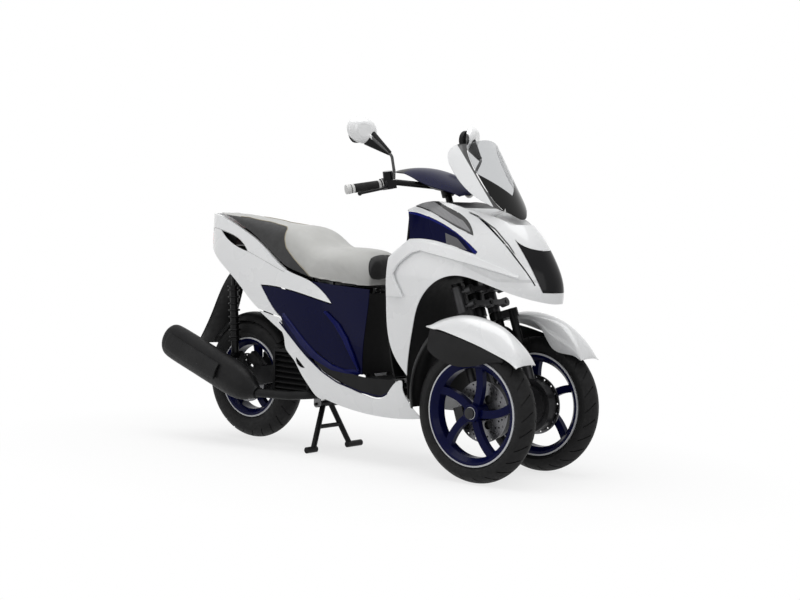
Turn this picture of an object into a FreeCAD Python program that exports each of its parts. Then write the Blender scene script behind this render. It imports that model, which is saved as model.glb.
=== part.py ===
import FreeCAD, Part
import math
import os
from types import SimpleNamespace

import Sketcher
from FreeCAD import Placement, Rotation, Vector

# A leaning three-wheel scooter with two steered wheels in front and one driven wheel behind.
# X points forwards, Y to the rider's left and Z up, and the ground is at Z = 0.
# Lengths are in millimetres. X = 0 is the middle of the overall length.

SIZES = {
    # whole vehicle
    "wheel_base": 1310,
    "rear_overhang": 345.2,
    "overall_height": 1215,
    "body_width": 414,
    "front_track": 385,
    "rear_lift": 8,
    # steering
    "caster": 20,
    "trail": 68,
    "kingpin_spacing": 184,
    "kingpin_pipe_diameter": 46,
    "kingpin_stem_diameter": 25,
    "head_pipe_diameter": 52,
    "head_stem_diameter": 26,
    "pin_clearance": 0.05,
    "moving_clearance": 6,
    # front wheels
    "front_tyre_diameter": 499.6,
    "front_tyre_width": 90,
    "front_bead_diameter": 355.6,
    "front_flange_diameter": 380,
    "front_rim_width": 64,
    "front_axle_diameter": 15,
    "front_disc_diameter": 220,
    "front_disc_offset": 34,
    # rear wheel
    "rear_tyre_diameter": 502.8,
    "rear_tyre_width": 110,
    "rear_bead_diameter": 304.8,
    "rear_flange_diameter": 330,
    "rear_rim_width": 78,
    "rear_axle_diameter": 16,
    "rear_disc_diameter": 200,
    "rear_disc_offset": 48,
    # parts that all wheels share
    "hub_diameter": 66,
    "hub_reach": 36,
    "spoke_width": 36,
    "spoke_depth": 22,
    "spoke_sweep": 34,
    "spoke_outset": 8,
    "rim_wall": 7,
    "rim_drop": 12,
    "flange_thickness": 5,
    "seat_gap": 0.3,
    "disc_thickness": 4,
    "disc_hole_diameter": 7,
    # front forks
    "fork_spread": 66,
    "fork_outset": 31,
    "stanchion_diameter": 30,
    "slider_diameter": 37,
    "fork_reach": 352,
    "slider_reach": 205,
    "crown_thickness": 30,
    "hub_cover_diameter": 200,
    "hub_cover_depth": 44,
    # handlebar
    "bar_diameter": 22.2,
    "bar_width": 690,
    "bar_height": 1040,
    "grip_diameter": 33,
    "grip_length": 118,
    "bar_end_length": 16,
    # panels
    "panel_wall": 3,
    "panel_gap": 1.5,
    "liner_wall": 4,
    "screen_wall": 3.5,
    # seat and storage
    "seat_height": 807,
    "seat_pan_wall": 4,
    "tub_wall": 3,
    "tub_width": 190,
    "tub_length": 380,
    "tub_depth": 175,
    "hinge_pin_diameter": 8,
    # frame and running gear
    "frame_tube_diameter": 32,
    "rail_diameter": 25.4,
    "engine_length": 235,
    "engine_width": 147,
    "engine_height": 190,
    "engine_clearance": 210,
    "case_thickness": 66,
    "arm_thickness": 14,
    "shock_spring_diameter": 50,
    "shock_spread": 190,
    "muffler_width": 108,
    "muffler_height": 148,
    "pipe_diameter": 34,
    "stand_tube_diameter": 25,
    "stand_pivot_height": 185,
    "stand_spread": 230,
    "side_stand_reach": 235,
}


def make_sheet(document, sizes):
    """Put the driving sizes into a spreadsheet, one named cell for each."""
    sheet = document.addObject("Spreadsheet::Sheet", "sizes")
    for row, (name, value) in enumerate(sizes.items(), start=1):
        sheet.set(f"A{row}", name)
        sheet.set(f"B{row}", str(value))
        sheet.setAlias(f"B{row}", name)
    document.recompute()
    return sheet


class Size:
    """A length that keeps its value and the sheet formula that drives it."""

    def __init__(self, value, formula):
        self.value = float(value)
        self.formula = formula

    def __float__(self):
        return self.value

    def joined(self, sign, other, value):
        return Size(value, f"({self.formula} {sign} {formula_of(other)})")

    def __add__(self, other):
        return self.joined("+", other, self.value + float(other))

    def __radd__(self, other):
        return self + other

    def __sub__(self, other):
        return self.joined("-", other, self.value - float(other))

    def __rsub__(self, other):
        return -self + other

    def __mul__(self, other):
        return self.joined("*", other, self.value * float(other))

    def __rmul__(self, other):
        return self * other

    def __truediv__(self, other):
        return self.joined("/", other, self.value / float(other))

    def __neg__(self):
        return Size(-self.value, f"(-{self.formula})")


def formula_of(number):
    """The sheet formula of a size, or a plain number as text."""
    if isinstance(number, Size):
        return number.formula
    return f"{float(number):.6f}"


doc = FreeCAD.newDocument("ReverseTrike")
sheet = make_sheet(doc, SIZES)
S = SimpleNamespace(**{name: Size(sheet.get(name), f"sizes.{name}") for name in SIZES})

NODES = {}


# Helpers for features whose sizes follow the sheet


def bind(feature, **sizes):
    """Tie properties of a feature to sheet formulas."""
    for name, number in sizes.items():
        feature.setExpression(name, formula_of(number))


def place(feature, x=0, y=0, z=0, rotation=None):
    """Place a feature, with the base point tied to the sheet."""
    if rotation is not None:
        feature.Placement = Placement(Vector(float(x), float(y), float(z)), rotation)
    for axis, number in zip("xyz", (x, y, z)):
        feature.setExpression(f".Placement.Base.{axis}", formula_of(number))
    return feature


def named(kind, name):
    """Add a feature of this kind with its own label."""
    feature = doc.addObject(kind, name)
    feature.Label = name
    return feature


ALONG_Y = Rotation(Vector(1, 0, 0), -90)
ALONG_Y_BACK = Rotation(Vector(1, 0, 0), 90)
ALONG_X = Rotation(Vector(0, 1, 0), 90)


def block(name, low, sides):
    """A box from its low corner and its three sides."""
    box = named("Part::Box", name)
    bind(box, Length=sides[0], Width=sides[1], Height=sides[2])
    return place(box, *low)


def drum(name, base, diameter, length, rotation=None):
    """A cylinder that stands on its base point, along Z unless it is rotated."""
    cylinder = named("Part::Cylinder", name)
    bind(cylinder, Radius=diameter / 2, Height=length)
    return place(cylinder, *base, rotation=rotation or Rotation())


def fused(name, *features):
    """One piece made of several touching features."""
    union = named("Part::MultiFuse", name)
    union.Shapes = list(features)
    union.Refine = True
    return union


def cut(name, base, tool):
    """A piece with a tool taken away from it."""
    difference = named("Part::Cut", name)
    difference.Base = base
    difference.Tool = tool
    return difference


def group(name, *features):
    """Pieces that lie apart, kept together under one name."""
    together = named("Part::Compound", name)
    together.Links = list(features)
    return together


def mirrored(name, feature):
    """The same piece on the other side of the vehicle."""
    other = named("Part::Mirroring", name)
    other.Source = feature
    other.Normal = Vector(0, 1, 0)
    return other


def solid(name, shape):
    """A piece whose shape is made directly."""
    feature = named("Part::Feature", name)
    feature.Shape = shape
    return feature


def keep(feature):
    """Hand a finished piece in under its label."""
    NODES[feature.Label] = feature
    return feature


# Sketches


def draw(sketch, corners):
    """Draw a closed outline. A corner is (x, y), or (x, y, radius) for an arc that leads to it.

    A positive radius curves to the left of the way the outline runs, a negative one to the right.
    """
    count = len(corners)
    ends = []
    for index in range(count):
        start = corners[index - 1]
        end = corners[index]
        first = Vector(float(start[0]), float(start[1]), 0)
        last = Vector(float(end[0]), float(end[1]), 0)
        if len(end) == 2:
            piece = sketch.addGeometry(Part.LineSegment(first, last), False)
            ends.append((piece, 1, 2))
            continue
        radius = abs(float(end[2]))
        chord = last - first
        rise = math.sqrt(max(radius ** 2 - (chord.Length / 2) ** 2, 0))
        side = Vector(-chord.y, chord.x, 0).normalize()
        leftwards = float(end[2]) > 0
        centre = (first + last) / 2 + side * (rise if leftwards else -rise)
        from_point, to_point = (first, last) if leftwards else (last, first)
        turn_from = math.atan2(from_point.y - centre.y, from_point.x - centre.x)
        turn_to = math.atan2(to_point.y - centre.y, to_point.x - centre.x)
        circle = Part.Circle(centre, Vector(0, 0, 1), radius)
        piece = sketch.addGeometry(Part.ArcOfCircle(circle, turn_from, turn_to), False)
        ends.append((piece, 1, 2) if leftwards else (piece, 2, 1))
        limit = sketch.addConstraint(Sketcher.Constraint("Radius", piece, radius))
        radius_size = end[2] if leftwards else -end[2]
        sketch.setExpression(f"Constraints[{limit}]", formula_of(radius_size))
    for index in range(count):
        piece, _, end_point = ends[index]
        following, start_point, _ = ends[(index + 1) % count]
        sketch.addConstraint(
            Sketcher.Constraint("Coincident", piece, end_point, following, start_point))
        for kind, number in zip(("DistanceX", "DistanceY"), corners[index][:2]):
            limit = sketch.addConstraint(
                Sketcher.Constraint(kind, -1, 1, piece, end_point, float(number)))
            sketch.setExpression(f"Constraints[{limit}]", formula_of(number))


def draw_circle(sketch, x, y, diameter):
    """Draw a circle whose centre and size follow the sheet."""
    centre = Vector(float(x), float(y), 0)
    ring = sketch.addGeometry(Part.Circle(centre, Vector(0, 0, 1), float(diameter) / 2), False)
    limit = sketch.addConstraint(Sketcher.Constraint("Diameter", ring, float(diameter)))
    sketch.setExpression(f"Constraints[{limit}]", formula_of(diameter))
    for kind, number in zip(("DistanceX", "DistanceY"), (x, y)):
        limit = sketch.addConstraint(Sketcher.Constraint(kind, -1, 1, ring, 3, float(number)))
        sketch.setExpression(f"Constraints[{limit}]", formula_of(number))


def body_sketch(body, name, plane_role, *outlines):
    """A sketch on one of the body's own planes."""
    sketch = body.newObject("Sketcher::SketchObject", name)
    plane = next(item for item in body.Origin.OriginFeatures if item.Role == plane_role)
    sketch.AttachmentSupport = [(plane, "")]
    sketch.MapMode = "FlatFace"
    for outline in outlines:
        if isinstance(outline, tuple):
            draw_circle(sketch, *outline)
        else:
            draw(sketch, outline)
    return sketch


def turned_body(name, outline):
    """A body of revolution about Y. The outline is (distance from the axis, place along Y)."""
    body = named("PartDesign::Body", name)
    sketch = body_sketch(body, name + "_outline", "XY_Plane", outline)
    turn = body.newObject("PartDesign::Revolution", name + "_turn")
    turn.Profile = sketch
    turn.ReferenceAxis = (sketch, ["V_Axis"])
    turn.Angle = 360
    return body


def padded_body(name, plane_role, depth, *outlines, midplane=True):
    """A body padded from outlines on one plane."""
    body = named("PartDesign::Body", name)
    sketch = body_sketch(body, name + "_outline", plane_role, *outlines)
    pad = body.newObject("PartDesign::Pad", name + "_pad")
    pad.Profile = sketch
    pad.Midplane = midplane
    bind(pad, Length=depth)
    return body


def drilled(body, name, plane_role, count, *holes):
    """Round holes through everything, repeated round the body's Y axis."""
    sketch = body_sketch(body, name, plane_role, *holes)
    pocket = body.newObject("PartDesign::Pocket", name + "_pocket")
    pocket.Profile = sketch
    pocket.Type = "ThroughAll"
    pocket.Midplane = True
    if count > 1:
        pattern = body.newObject("PartDesign::PolarPattern", name + "_pattern")
        pattern.Originals = [pocket]
        pattern.Axis = (sketch, ["N_Axis"])
        pattern.Angle = 360
        pattern.Occurrences = count
        body.Tip = pattern
    return body


# Free shapes


def spline(points, closed=False):
    """A smooth edge through points."""
    curve = Part.BSplineCurve()
    curve.interpolate(Points=points, PeriodicFlag=closed)
    return curve.toShape()


def chain(strokes, to_point):
    """A closed wire of strokes: two points make a line, more make a smooth curve."""
    edges = []
    for stroke in strokes:
        points = [to_point(*pair) for pair in stroke]
        if len(points) == 2:
            edges.append(Part.LineSegment(*points).toShape())
        else:
            edges.append(spline(points))
    return Part.Wire(edges)


def surface_of(grid):
    """A smooth surface through rows of points."""
    sheet_surface = Part.BSplineSurface()
    sheet_surface.interpolate(grid)
    return sheet_surface


def panel(grid, wall):
    """A curved panel: the surface through the grid is its outside, and the wall lies behind it."""
    rows = len(grid)
    columns = len(grid[0])
    behind = []
    for row in range(rows):
        line = []
        for column in range(columns):
            lengthwise = grid[min(row + 1, rows - 1)][column] - grid[max(row - 1, 0)][column]
            crosswise = grid[row][min(column + 1, columns - 1)] - grid[row][max(column - 1, 0)]
            normal = lengthwise.cross(crosswise).normalize()
            line.append(grid[row][column] - normal * float(wall))
        behind.append(line)
    outside = surface_of(grid)
    inside = surface_of(behind)
    first_u, last_u, first_v, last_v = outside.bounds()
    faces = [outside.toShape(), inside.toShape()]
    for value in (first_u, last_u):
        faces.append(Part.makeRuledSurface(outside.uIso(value).toShape(),
                                           inside.uIso(value).toShape()))
    for value in (first_v, last_v):
        faces.append(Part.makeRuledSurface(outside.vIso(value).toShape(),
                                           inside.vIso(value).toShape()))
    shell = Part.Shell(faces)
    shell.sewShape()
    closed = Part.Solid(shell)
    if closed.Volume < 0:
        closed.reverse()
    return closed


def bent_tube(points, diameter, bend):
    """A round bar along straight runs that are joined by tangent arcs."""
    corners = [Vector(*map(float, point)) for point in points]
    edges = []
    start = corners[0]
    for before, corner, after in zip(corners, corners[1:], corners[2:]):
        arriving = (corner - before).normalize()
        leaving = (after - corner).normalize()
        turn = arriving.getAngle(leaving)
        setback = float(bend) * math.tan(turn / 2)
        arc_start = corner - arriving * setback
        arc_end = corner + leaving * setback
        inward = (leaving - arriving).normalize()
        arc_middle = corner + inward * (float(bend) / math.cos(turn / 2) - float(bend))
        edges.append(Part.LineSegment(start, arc_start).toShape())
        edges.append(Part.Arc(arc_start, arc_middle, arc_end).toShape())
        start = arc_end
    edges.append(Part.LineSegment(start, corners[-1]).toShape())
    path = Part.Wire(edges)
    heading = corners[1] - corners[0]
    ring = Part.Wire(Part.Circle(corners[0], heading, float(diameter) / 2).toShape())
    return path.makePipeShell([ring], True, False)


# Main places, worked out from the driving sizes

middle_x = (S.rear_overhang - S.front_tyre_diameter / 2) / 2
front_axle_x = middle_x + S.wheel_base / 2
rear_axle_x = middle_x - S.wheel_base / 2
front_axle_z = S.front_tyre_diameter / 2
rear_axle_z = S.rear_tyre_diameter / 2 + S.rear_lift
wheel_y = S.front_track / 2
kingpin_y = S.kingpin_spacing / 2

caster = math.radians(float(S.caster))
STEERING_TILT = Rotation(Vector(0, 1, 0), -float(S.caster))
steering_ground_x = front_axle_x + S.trail


def along(share):
    """A place along the vehicle, as a share of the wheel base from its middle."""
    return float(middle_x) + share * float(S.wheel_base)


def across(share):
    """A place across the vehicle, as a share of the body's width."""
    return share * float(S.body_width)


def up(share):
    """A height, as a share of the overall height."""
    return share * float(S.overall_height)


def steering_point(lead, y, rise):
    """A point given along the steering axis and at right angles to it.

    The rise counts along the tilted axis from the level of the front axle.
    """
    foot_x = float(steering_ground_x) - float(front_axle_z) * math.tan(caster)
    x = foot_x + float(lead) * math.cos(caster) - float(rise) * math.sin(caster)
    z = float(front_axle_z) + float(lead) * math.sin(caster) + float(rise) * math.cos(caster)
    return (x, float(y), z)


# Wheels


def make_tyre(name, outer, width, bead, flange, rim_width):
    """A round-crowned scooter tyre that stands on the bead seats."""
    reach = outer / 2
    half = width / 2
    wall = rim_width / 2 - S.flange_thickness / 2
    lip = flange / 2 + S.flange_thickness / 2
    crown = width * 0.62
    shoulder = reach - width * 0.30
    belly = reach - width * 0.45
    outline = [
        (bead / 2, wall),
        (bead / 2, -wall),
        (lip, -wall),
        (belly, -half, -width),
        (shoulder, -half + width * 0.03),
        (reach, half * 0, crown),
        (shoulder, half - width * 0.03, crown),
        (belly, half),
        (lip, wall, -width),
    ]
    return keep(turned_body(name, outline))


def make_rim(name, bead, flange, rim_width, axle, disc_reach=0):
    """A cast rim with five swept spokes and a through bore for its axle."""
    seat = bead / 2 - S.seat_gap
    face = rim_width / 2 - S.flange_thickness / 2 + S.seat_gap
    edge = face + S.flange_thickness
    well = seat - S.rim_drop
    inner = well - S.rim_wall
    ledge = face - S.rim_drop
    bottom = ledge - S.rim_drop / 2
    barrel = turned_body(name + "_barrel", [
        (flange / 2, face),
        (flange / 2, edge),
        (seat - S.rim_wall / 2, edge, S.rim_drop * 2),
        (inner, ledge),
        (inner, -ledge),
        (seat - S.rim_wall / 2, -edge),
        (flange / 2, -edge, S.rim_drop * 2),
        (flange / 2, -face),
        (seat, -face),
        (seat, -ledge),
        (well, -bottom),
        (well, bottom),
        (seat, ledge),
        (seat, face),
    ])
    bore = axle / 2 + S.pin_clearance
    hub = turned_body(name + "_hub", [
        (S.hub_diameter / 2, S.hub_reach - S.rim_wall),
        (S.hub_diameter / 2 - S.rim_wall, S.hub_reach, S.rim_wall),
        (bore, S.hub_reach),
        (bore, -S.hub_reach),
        (S.hub_diameter / 2 - S.rim_wall, -S.hub_reach),
        (S.hub_diameter / 2, -S.hub_reach + S.rim_wall, S.rim_wall),
    ])
    pieces = [barrel, hub]
    if disc_reach:
        boss = drum(name + "_disc_boss", (0, -disc_reach, 0), S.hub_diameter,
                    disc_reach - S.hub_reach * 0.5, ALONG_Y)
        passage = drum(name + "_disc_bore", (0, -disc_reach, 0), bore * 2, disc_reach, ALONG_Y)
        pieces.append(cut(name + "_disc_seat", boss, passage))
    start = S.hub_diameter / 2 - S.rim_wall
    finish = inner + S.rim_wall / 2
    half = S.spoke_width / 2
    for number in range(SPOKES):
        spoke = padded_body(f"{name}_spoke_{number}", "XZ_Plane", S.spoke_depth, [
            (start, -half * 0.8),
            (finish, S.spoke_sweep - half, finish * 1.4),
            (finish, S.spoke_sweep + half),
            (start, half * 0.8, -finish * 1.1),
        ])
        turn = Rotation(Vector(0, 1, 0), 360 / SPOKES * number)
        pieces.append(place(spoke, 0, -S.spoke_outset, 0, turn))
    return fused(name, *pieces)


def make_disc(name, diameter, y):
    """A drilled brake disc that is bolted to the hub's inner end."""
    bore = S.hub_diameter + S.seat_gap * 2
    disc = padded_body(name, "XZ_Plane", S.disc_thickness, (0, 0, diameter), (0, 0, bore))
    middle = (diameter + bore) / 4
    window = (diameter - bore) / 4
    drilled(disc, name + "_windows", "XZ_Plane", 6, (middle - window / 2, 0, window * 0.8))
    rows = ((0.72, 0), (0.82, 7), (0.92, 14))
    for ring_share, turn in rows:
        reach = diameter / 2 * ring_share
        hole = (reach * math.cos(math.radians(turn)), reach * math.sin(math.radians(turn)),
                S.disc_hole_diameter)
        drilled(disc, f"{name}_holes_{turn}", "XZ_Plane", 18, hole)
    disc.Placement.Base.y = float(y)
    return disc


SPOKES = 5


def make_wheel(prefix, centre, inner_side, tyre, rim, disc):
    """Tyre, rim and disc about one axle. The inner side is +1 for a wheel right of its disc."""
    pieces = [
        make_tyre(prefix + "_tyre", *tyre),
        keep(make_rim(prefix + "_rim", *rim)),
        keep(make_disc(prefix + "_disc", *disc)),
    ]
    facing = Rotation(Vector(0, 0, 1), 0 if inner_side > 0 else 180)
    for piece in pieces:
        own = piece.Placement.Base
        piece.Placement = Placement(Vector(*map(float, centre)), facing).multiply(
            Placement(own, Rotation()))


def make_wheels():
    """The three wheels. The front pair is one design turned to each side."""
    front_tyre = (S.front_tyre_diameter, S.front_tyre_width, S.front_bead_diameter,
                  S.front_flange_diameter, S.front_rim_width)
    front_rim = (S.front_bead_diameter, S.front_flange_diameter, S.front_rim_width,
                 S.front_axle_diameter)
    front_disc = (S.front_disc_diameter, S.front_disc_offset)
    for prefix, side in (("right_wheel", 1), ("left_wheel", -1)):
        centre = (front_axle_x, -wheel_y * side, front_axle_z)
        make_wheel(prefix, centre, side, front_tyre, front_rim, front_disc)
    rear_tyre = (S.rear_tyre_diameter, S.rear_tyre_width, S.rear_bead_diameter,
                 S.rear_flange_diameter, S.rear_rim_width)
    rear_rim = (S.rear_bead_diameter, S.rear_flange_diameter, S.rear_rim_width,
                S.rear_axle_diameter, S.rear_disc_offset + S.disc_thickness / 2)
    rear_disc = (S.rear_disc_diameter, -S.rear_disc_offset)
    make_wheel("rear_wheel", (rear_axle_x, 0, rear_axle_z), 1, rear_tyre, rear_rim, rear_disc)


make_wheels()


# Front suspension and steering


def steering_frame(y):
    """The placement of the tilted frame whose Z runs up a steering axis."""
    return Placement(Vector(*steering_point(0, y, 0)), STEERING_TILT)


AXLE_LEAD = front_axle_z * math.sin(caster) - S.trail * math.cos(caster)
AXLE_RISE = AXLE_LEAD * -math.tan(caster)
PIPE_FOOT = S.fork_reach + S.crown_thickness / 12
PIPE_LENGTH = S.kingpin_pipe_diameter * 2.2
ARM_LEAD = S.kingpin_pipe_diameter / 2 + S.stanchion_diameter * 0.65
ARM_THICKNESS = S.stanchion_diameter * 0.8
ARM_HEIGHT = S.stanchion_diameter * 1.1
ARM_PIN = S.stanchion_diameter / 2
ARM_RISES = (PIPE_FOOT + ARM_HEIGHT * 0.7, PIPE_FOOT + PIPE_LENGTH - ARM_HEIGHT * 0.7)


def make_fork():
    """The right fork: a crown on its steering stem, and two stanchions one behind the other."""
    outset = -S.fork_outset
    clamp = S.stanchion_diameter / 2 + S.crown_thickness / 4
    pipe = S.kingpin_pipe_diameter / 2
    rear = AXLE_LEAD - S.fork_spread / 2
    front = AXLE_LEAD + S.fork_spread / 2
    crown = padded_body("right_fork_crown", "XY_Plane", S.crown_thickness, [
        (pipe * 0, pipe, pipe),
        (-pipe, pipe * 0, pipe),
        (rear - clamp, outset),
        (rear, outset - clamp, clamp),
        (front, outset - clamp),
        (front + clamp, outset, clamp),
        (pipe, pipe * 0),
    ])
    place(crown, 0, 0, S.fork_reach - S.crown_thickness / 2)
    pieces = [crown]
    low = S.slider_reach - S.slider_diameter * 3
    for name, lead in (("rear", rear), ("front", front)):
        pieces.append(drum(f"right_fork_{name}_stanchion", (lead, outset, low),
                           S.stanchion_diameter, S.fork_reach - low))
    stem_top = PIPE_FOOT + PIPE_LENGTH + S.crown_thickness / 12
    foot = S.fork_reach - S.crown_thickness / 2
    pieces.append(drum("right_fork_stem", (0, 0, foot), S.kingpin_stem_diameter, stem_top - foot))
    nut = S.kingpin_stem_diameter * 1.4
    pieces.append(drum("right_fork_nut", (0, 0, stem_top), nut, S.crown_thickness / 3))
    fork = fused("right_fork", *pieces)
    fork.Placement = steering_frame(-kingpin_y)
    return fork


def make_fork_leg():
    """The right fork's two sliders, cast in one with the round axle carrier and its axle."""
    outset = -S.fork_outset
    wheel = kingpin_y - wheel_y
    inner = outset - S.slider_diameter / 2 + S.hub_cover_depth * 0.8
    pieces = []
    bores = []
    for name, side in (("rear", -1), ("front", 1)):
        lead = AXLE_LEAD + S.fork_spread / 2 * side
        foot = (lead, outset, S.slider_diameter * 0)
        pieces.append(drum(f"right_slider_{name}", foot, S.slider_diameter, S.slider_reach))
        collar = (lead, outset, S.slider_reach - S.slider_diameter * 0.35)
        pieces.append(drum(f"right_slider_{name}_collar", collar, S.slider_diameter * 1.03,
                           S.slider_diameter * 0.35))
        low = S.slider_reach - S.slider_diameter * 3
        bores.append(drum(f"right_slider_{name}_bore", (lead, outset, low),
                          S.stanchion_diameter + S.pin_clearance * 2, S.slider_reach))
    cover = drum("right_axle_carrier", (AXLE_LEAD, inner, AXLE_RISE), S.hub_cover_diameter,
                 S.hub_cover_depth, ALONG_Y_BACK)
    step = drum("right_axle_carrier_step", (AXLE_LEAD, inner + S.rim_wall, AXLE_RISE),
                S.hub_cover_diameter * 0.8, S.hub_cover_depth, ALONG_Y_BACK)
    axle_length = inner - wheel + S.hub_reach + S.rim_wall
    axle = drum("right_axle", (AXLE_LEAD, inner, AXLE_RISE), S.front_axle_diameter, axle_length,
                ALONG_Y_BACK)
    cap_y = wheel - S.hub_reach - S.moving_clearance / 8
    cap = drum("right_axle_cap", (AXLE_LEAD, cap_y, AXLE_RISE), S.hub_diameter * 0.6,
               S.rim_wall, ALONG_Y_BACK)
    casting = fused("right_leg_casting", *pieces, cover, step, axle, cap)
    leg = cut("right_leg", casting, group("right_slider_bores", *bores))
    leg.Placement = steering_frame(-kingpin_y)
    return leg


def make_lean_linkage():
    """The two leaning arms, and the side pipes that they carry."""
    arms = []
    for number, rise in enumerate(ARM_RISES):
        half = S.kingpin_spacing / 2
        beam = block(f"lean_arm_{number}_beam", (ARM_LEAD, -half, rise - ARM_HEIGHT * 0.3),
                     (ARM_THICKNESS, S.kingpin_spacing, ARM_HEIGHT * 0.6))
        bosses = [
            drum(f"lean_arm_{number}_boss_{spot}", (ARM_LEAD, half * spot, rise),
                 ARM_HEIGHT, ARM_THICKNESS, ALONG_X)
            for spot in (-1, 0, 1)
        ]
        holes = [
            drum(f"lean_arm_{number}_hole_{spot}", (ARM_LEAD - S.rim_wall, half * spot, rise),
                 ARM_PIN + S.pin_clearance * 2, ARM_THICKNESS * 2, ALONG_X)
            for spot in (-1, 0, 1)
        ]
        solid_arm = fused(f"lean_arm_{number}_solid", beam, *bosses)
        arms.append(cut(f"lean_arm_{number}", solid_arm, group(f"lean_arm_{number}_holes", *holes)))
    linkage = group("lean_arms", *arms)
    linkage.Placement = steering_frame(0)
    pipe = drum("right_kingpin_sleeve", (0, 0, PIPE_FOOT), S.kingpin_pipe_diameter, PIPE_LENGTH)
    pins = [arm_pin(f"right_kingpin_arm_pin_{number}", rise)
            for number, rise in enumerate(ARM_RISES)]
    bore = drum("right_kingpin_bore", (0, 0, 0), S.kingpin_stem_diameter + S.pin_clearance * 2,
                PIPE_FOOT + PIPE_LENGTH * 2)
    right = cut("right_kingpin_pipe", fused("right_kingpin_solid", pipe, *pins), bore)
    right.Placement = steering_frame(-kingpin_y)
    return linkage, group("kingpin_pipes", right, mirrored("left_kingpin_pipe", right))


def arm_pin(name, rise):
    """A pin that stands forwards from a pipe and carries a leaning arm."""
    return drum(name, (0, 0, rise), ARM_PIN, ARM_LEAD + ARM_THICKNESS + S.rim_wall / 2, ALONG_X)


# Front mudguards. Each table row runs from the front tip to the rear corner.

FENDER_TOP_SHARES = [
    # inner edge (x, z), ridge (x, z), outer edge (x, z), each from the axle, in tyre radii
    ((0.845, 0.715), (0.875, 0.730), (0.850, 0.700)),
    ((0.770, 0.745), (0.845, 0.840), (0.740, 0.765)),
    ((0.600, 0.785), (0.650, 1.055), (0.540, 0.845)),
    ((0.340, 0.850), (0.410, 1.215), (0.280, 0.935)),
    ((0.120, 1.130), (0.120, 1.315), (0.000, 1.020)),
    ((-0.180, 1.255), (-0.180, 1.355), (-0.320, 1.105)),
    ((-0.520, 1.260), (-0.510, 1.310), (-0.560, 1.155)),
    ((-0.745, 1.190), (-0.750, 1.200), (-0.750, 1.185)),
]
FENDER_SIDE_SHARES = [
    # upper edge (x, z) under the top, and lower edge (x, z)
    ((0.620, 0.785), (0.600, 0.750)),
    ((0.420, 0.875), (0.280, 0.715)),
    ((0.180, 0.945), (0.000, 0.655)),
    ((-0.120, 1.030), (-0.260, 0.655)),
    ((-0.420, 1.100), (-0.520, 0.720)),
    ((-0.690, 1.150), (-0.740, 0.860)),
]
FENDER_OUTER_SHARE = 0.66
FENDER_REAR_ANGLES = (124, 181)
FENDER_REAR_REACH_SHARES = (1.34, 1.125)


def fender_point(x_share, y, z_share):
    """A point of the right mudguard, from the right front axle."""
    reach = float(S.front_tyre_diameter) / 2
    return Vector(float(front_axle_x) + x_share * reach, y,
                  float(front_axle_z) + z_share * reach)


def make_fender_top():
    """The painted top of the right mudguard."""
    inner_y = -float(wheel_y) + float(S.front_tyre_width) * 0.565
    outer_y = -float(wheel_y) - float(S.front_tyre_width) * FENDER_OUTER_SHARE
    ridge_y = inner_y * 0.45 + outer_y * 0.55
    grid = []
    for inner, ridge, outer in FENDER_TOP_SHARES:
        row = [fender_point(inner[0], inner_y, inner[1])]
        row.append(fender_point(inner[0] * 0.4 + ridge[0] * 0.6, inner_y * 0.93 + ridge_y * 0.07,
                                inner[1] * 0.4 + ridge[1] * 0.6))
        row.append(fender_point(ridge[0] * 0.95 + inner[0] * 0.05,
                                inner_y * 0.55 + ridge_y * 0.45,
                                ridge[1] * 0.95 + inner[1] * 0.05))
        row.append(fender_point(ridge[0], ridge_y, ridge[1]))
        row.append(fender_point(ridge[0] * 0.6 + outer[0] * 0.4,
                                ridge_y * 0.35 + outer_y * 0.65,
                                ridge[1] * 0.62 + outer[1] * 0.38))
        row.append(fender_point(outer[0], outer_y, outer[1]))
        grid.append(row)
    return panel(grid, S.panel_wall)


def arched_section(axle, angle, reach, wall, half_width, drop):
    """A wire across a mudguard in the plane of the axle: an arch and its inside."""
    def point(y, out):
        return axle + Vector(math.cos(angle) * out, y, math.sin(angle) * out)

    def arch(wide, out, sense):
        rows = ((-1, 1.0), (-0.8, 0.52), (-0.45, 0.14), (0, 0.0), (0.45, 0.14), (0.8, 0.52),
                (1, 1.0))
        return [point(wide * across_share, out - drop * drop_share)
                for across_share, drop_share in rows[::sense]]

    outside = arch(half_width, reach, 1)
    inside = arch(half_width - wall, reach - wall, -1)
    edges = [spline(outside), Part.LineSegment(outside[-1], inside[0]).toShape(),
             spline(inside), Part.LineSegment(inside[-1], outside[0]).toShape()]
    return Part.Wire(edges)


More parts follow.
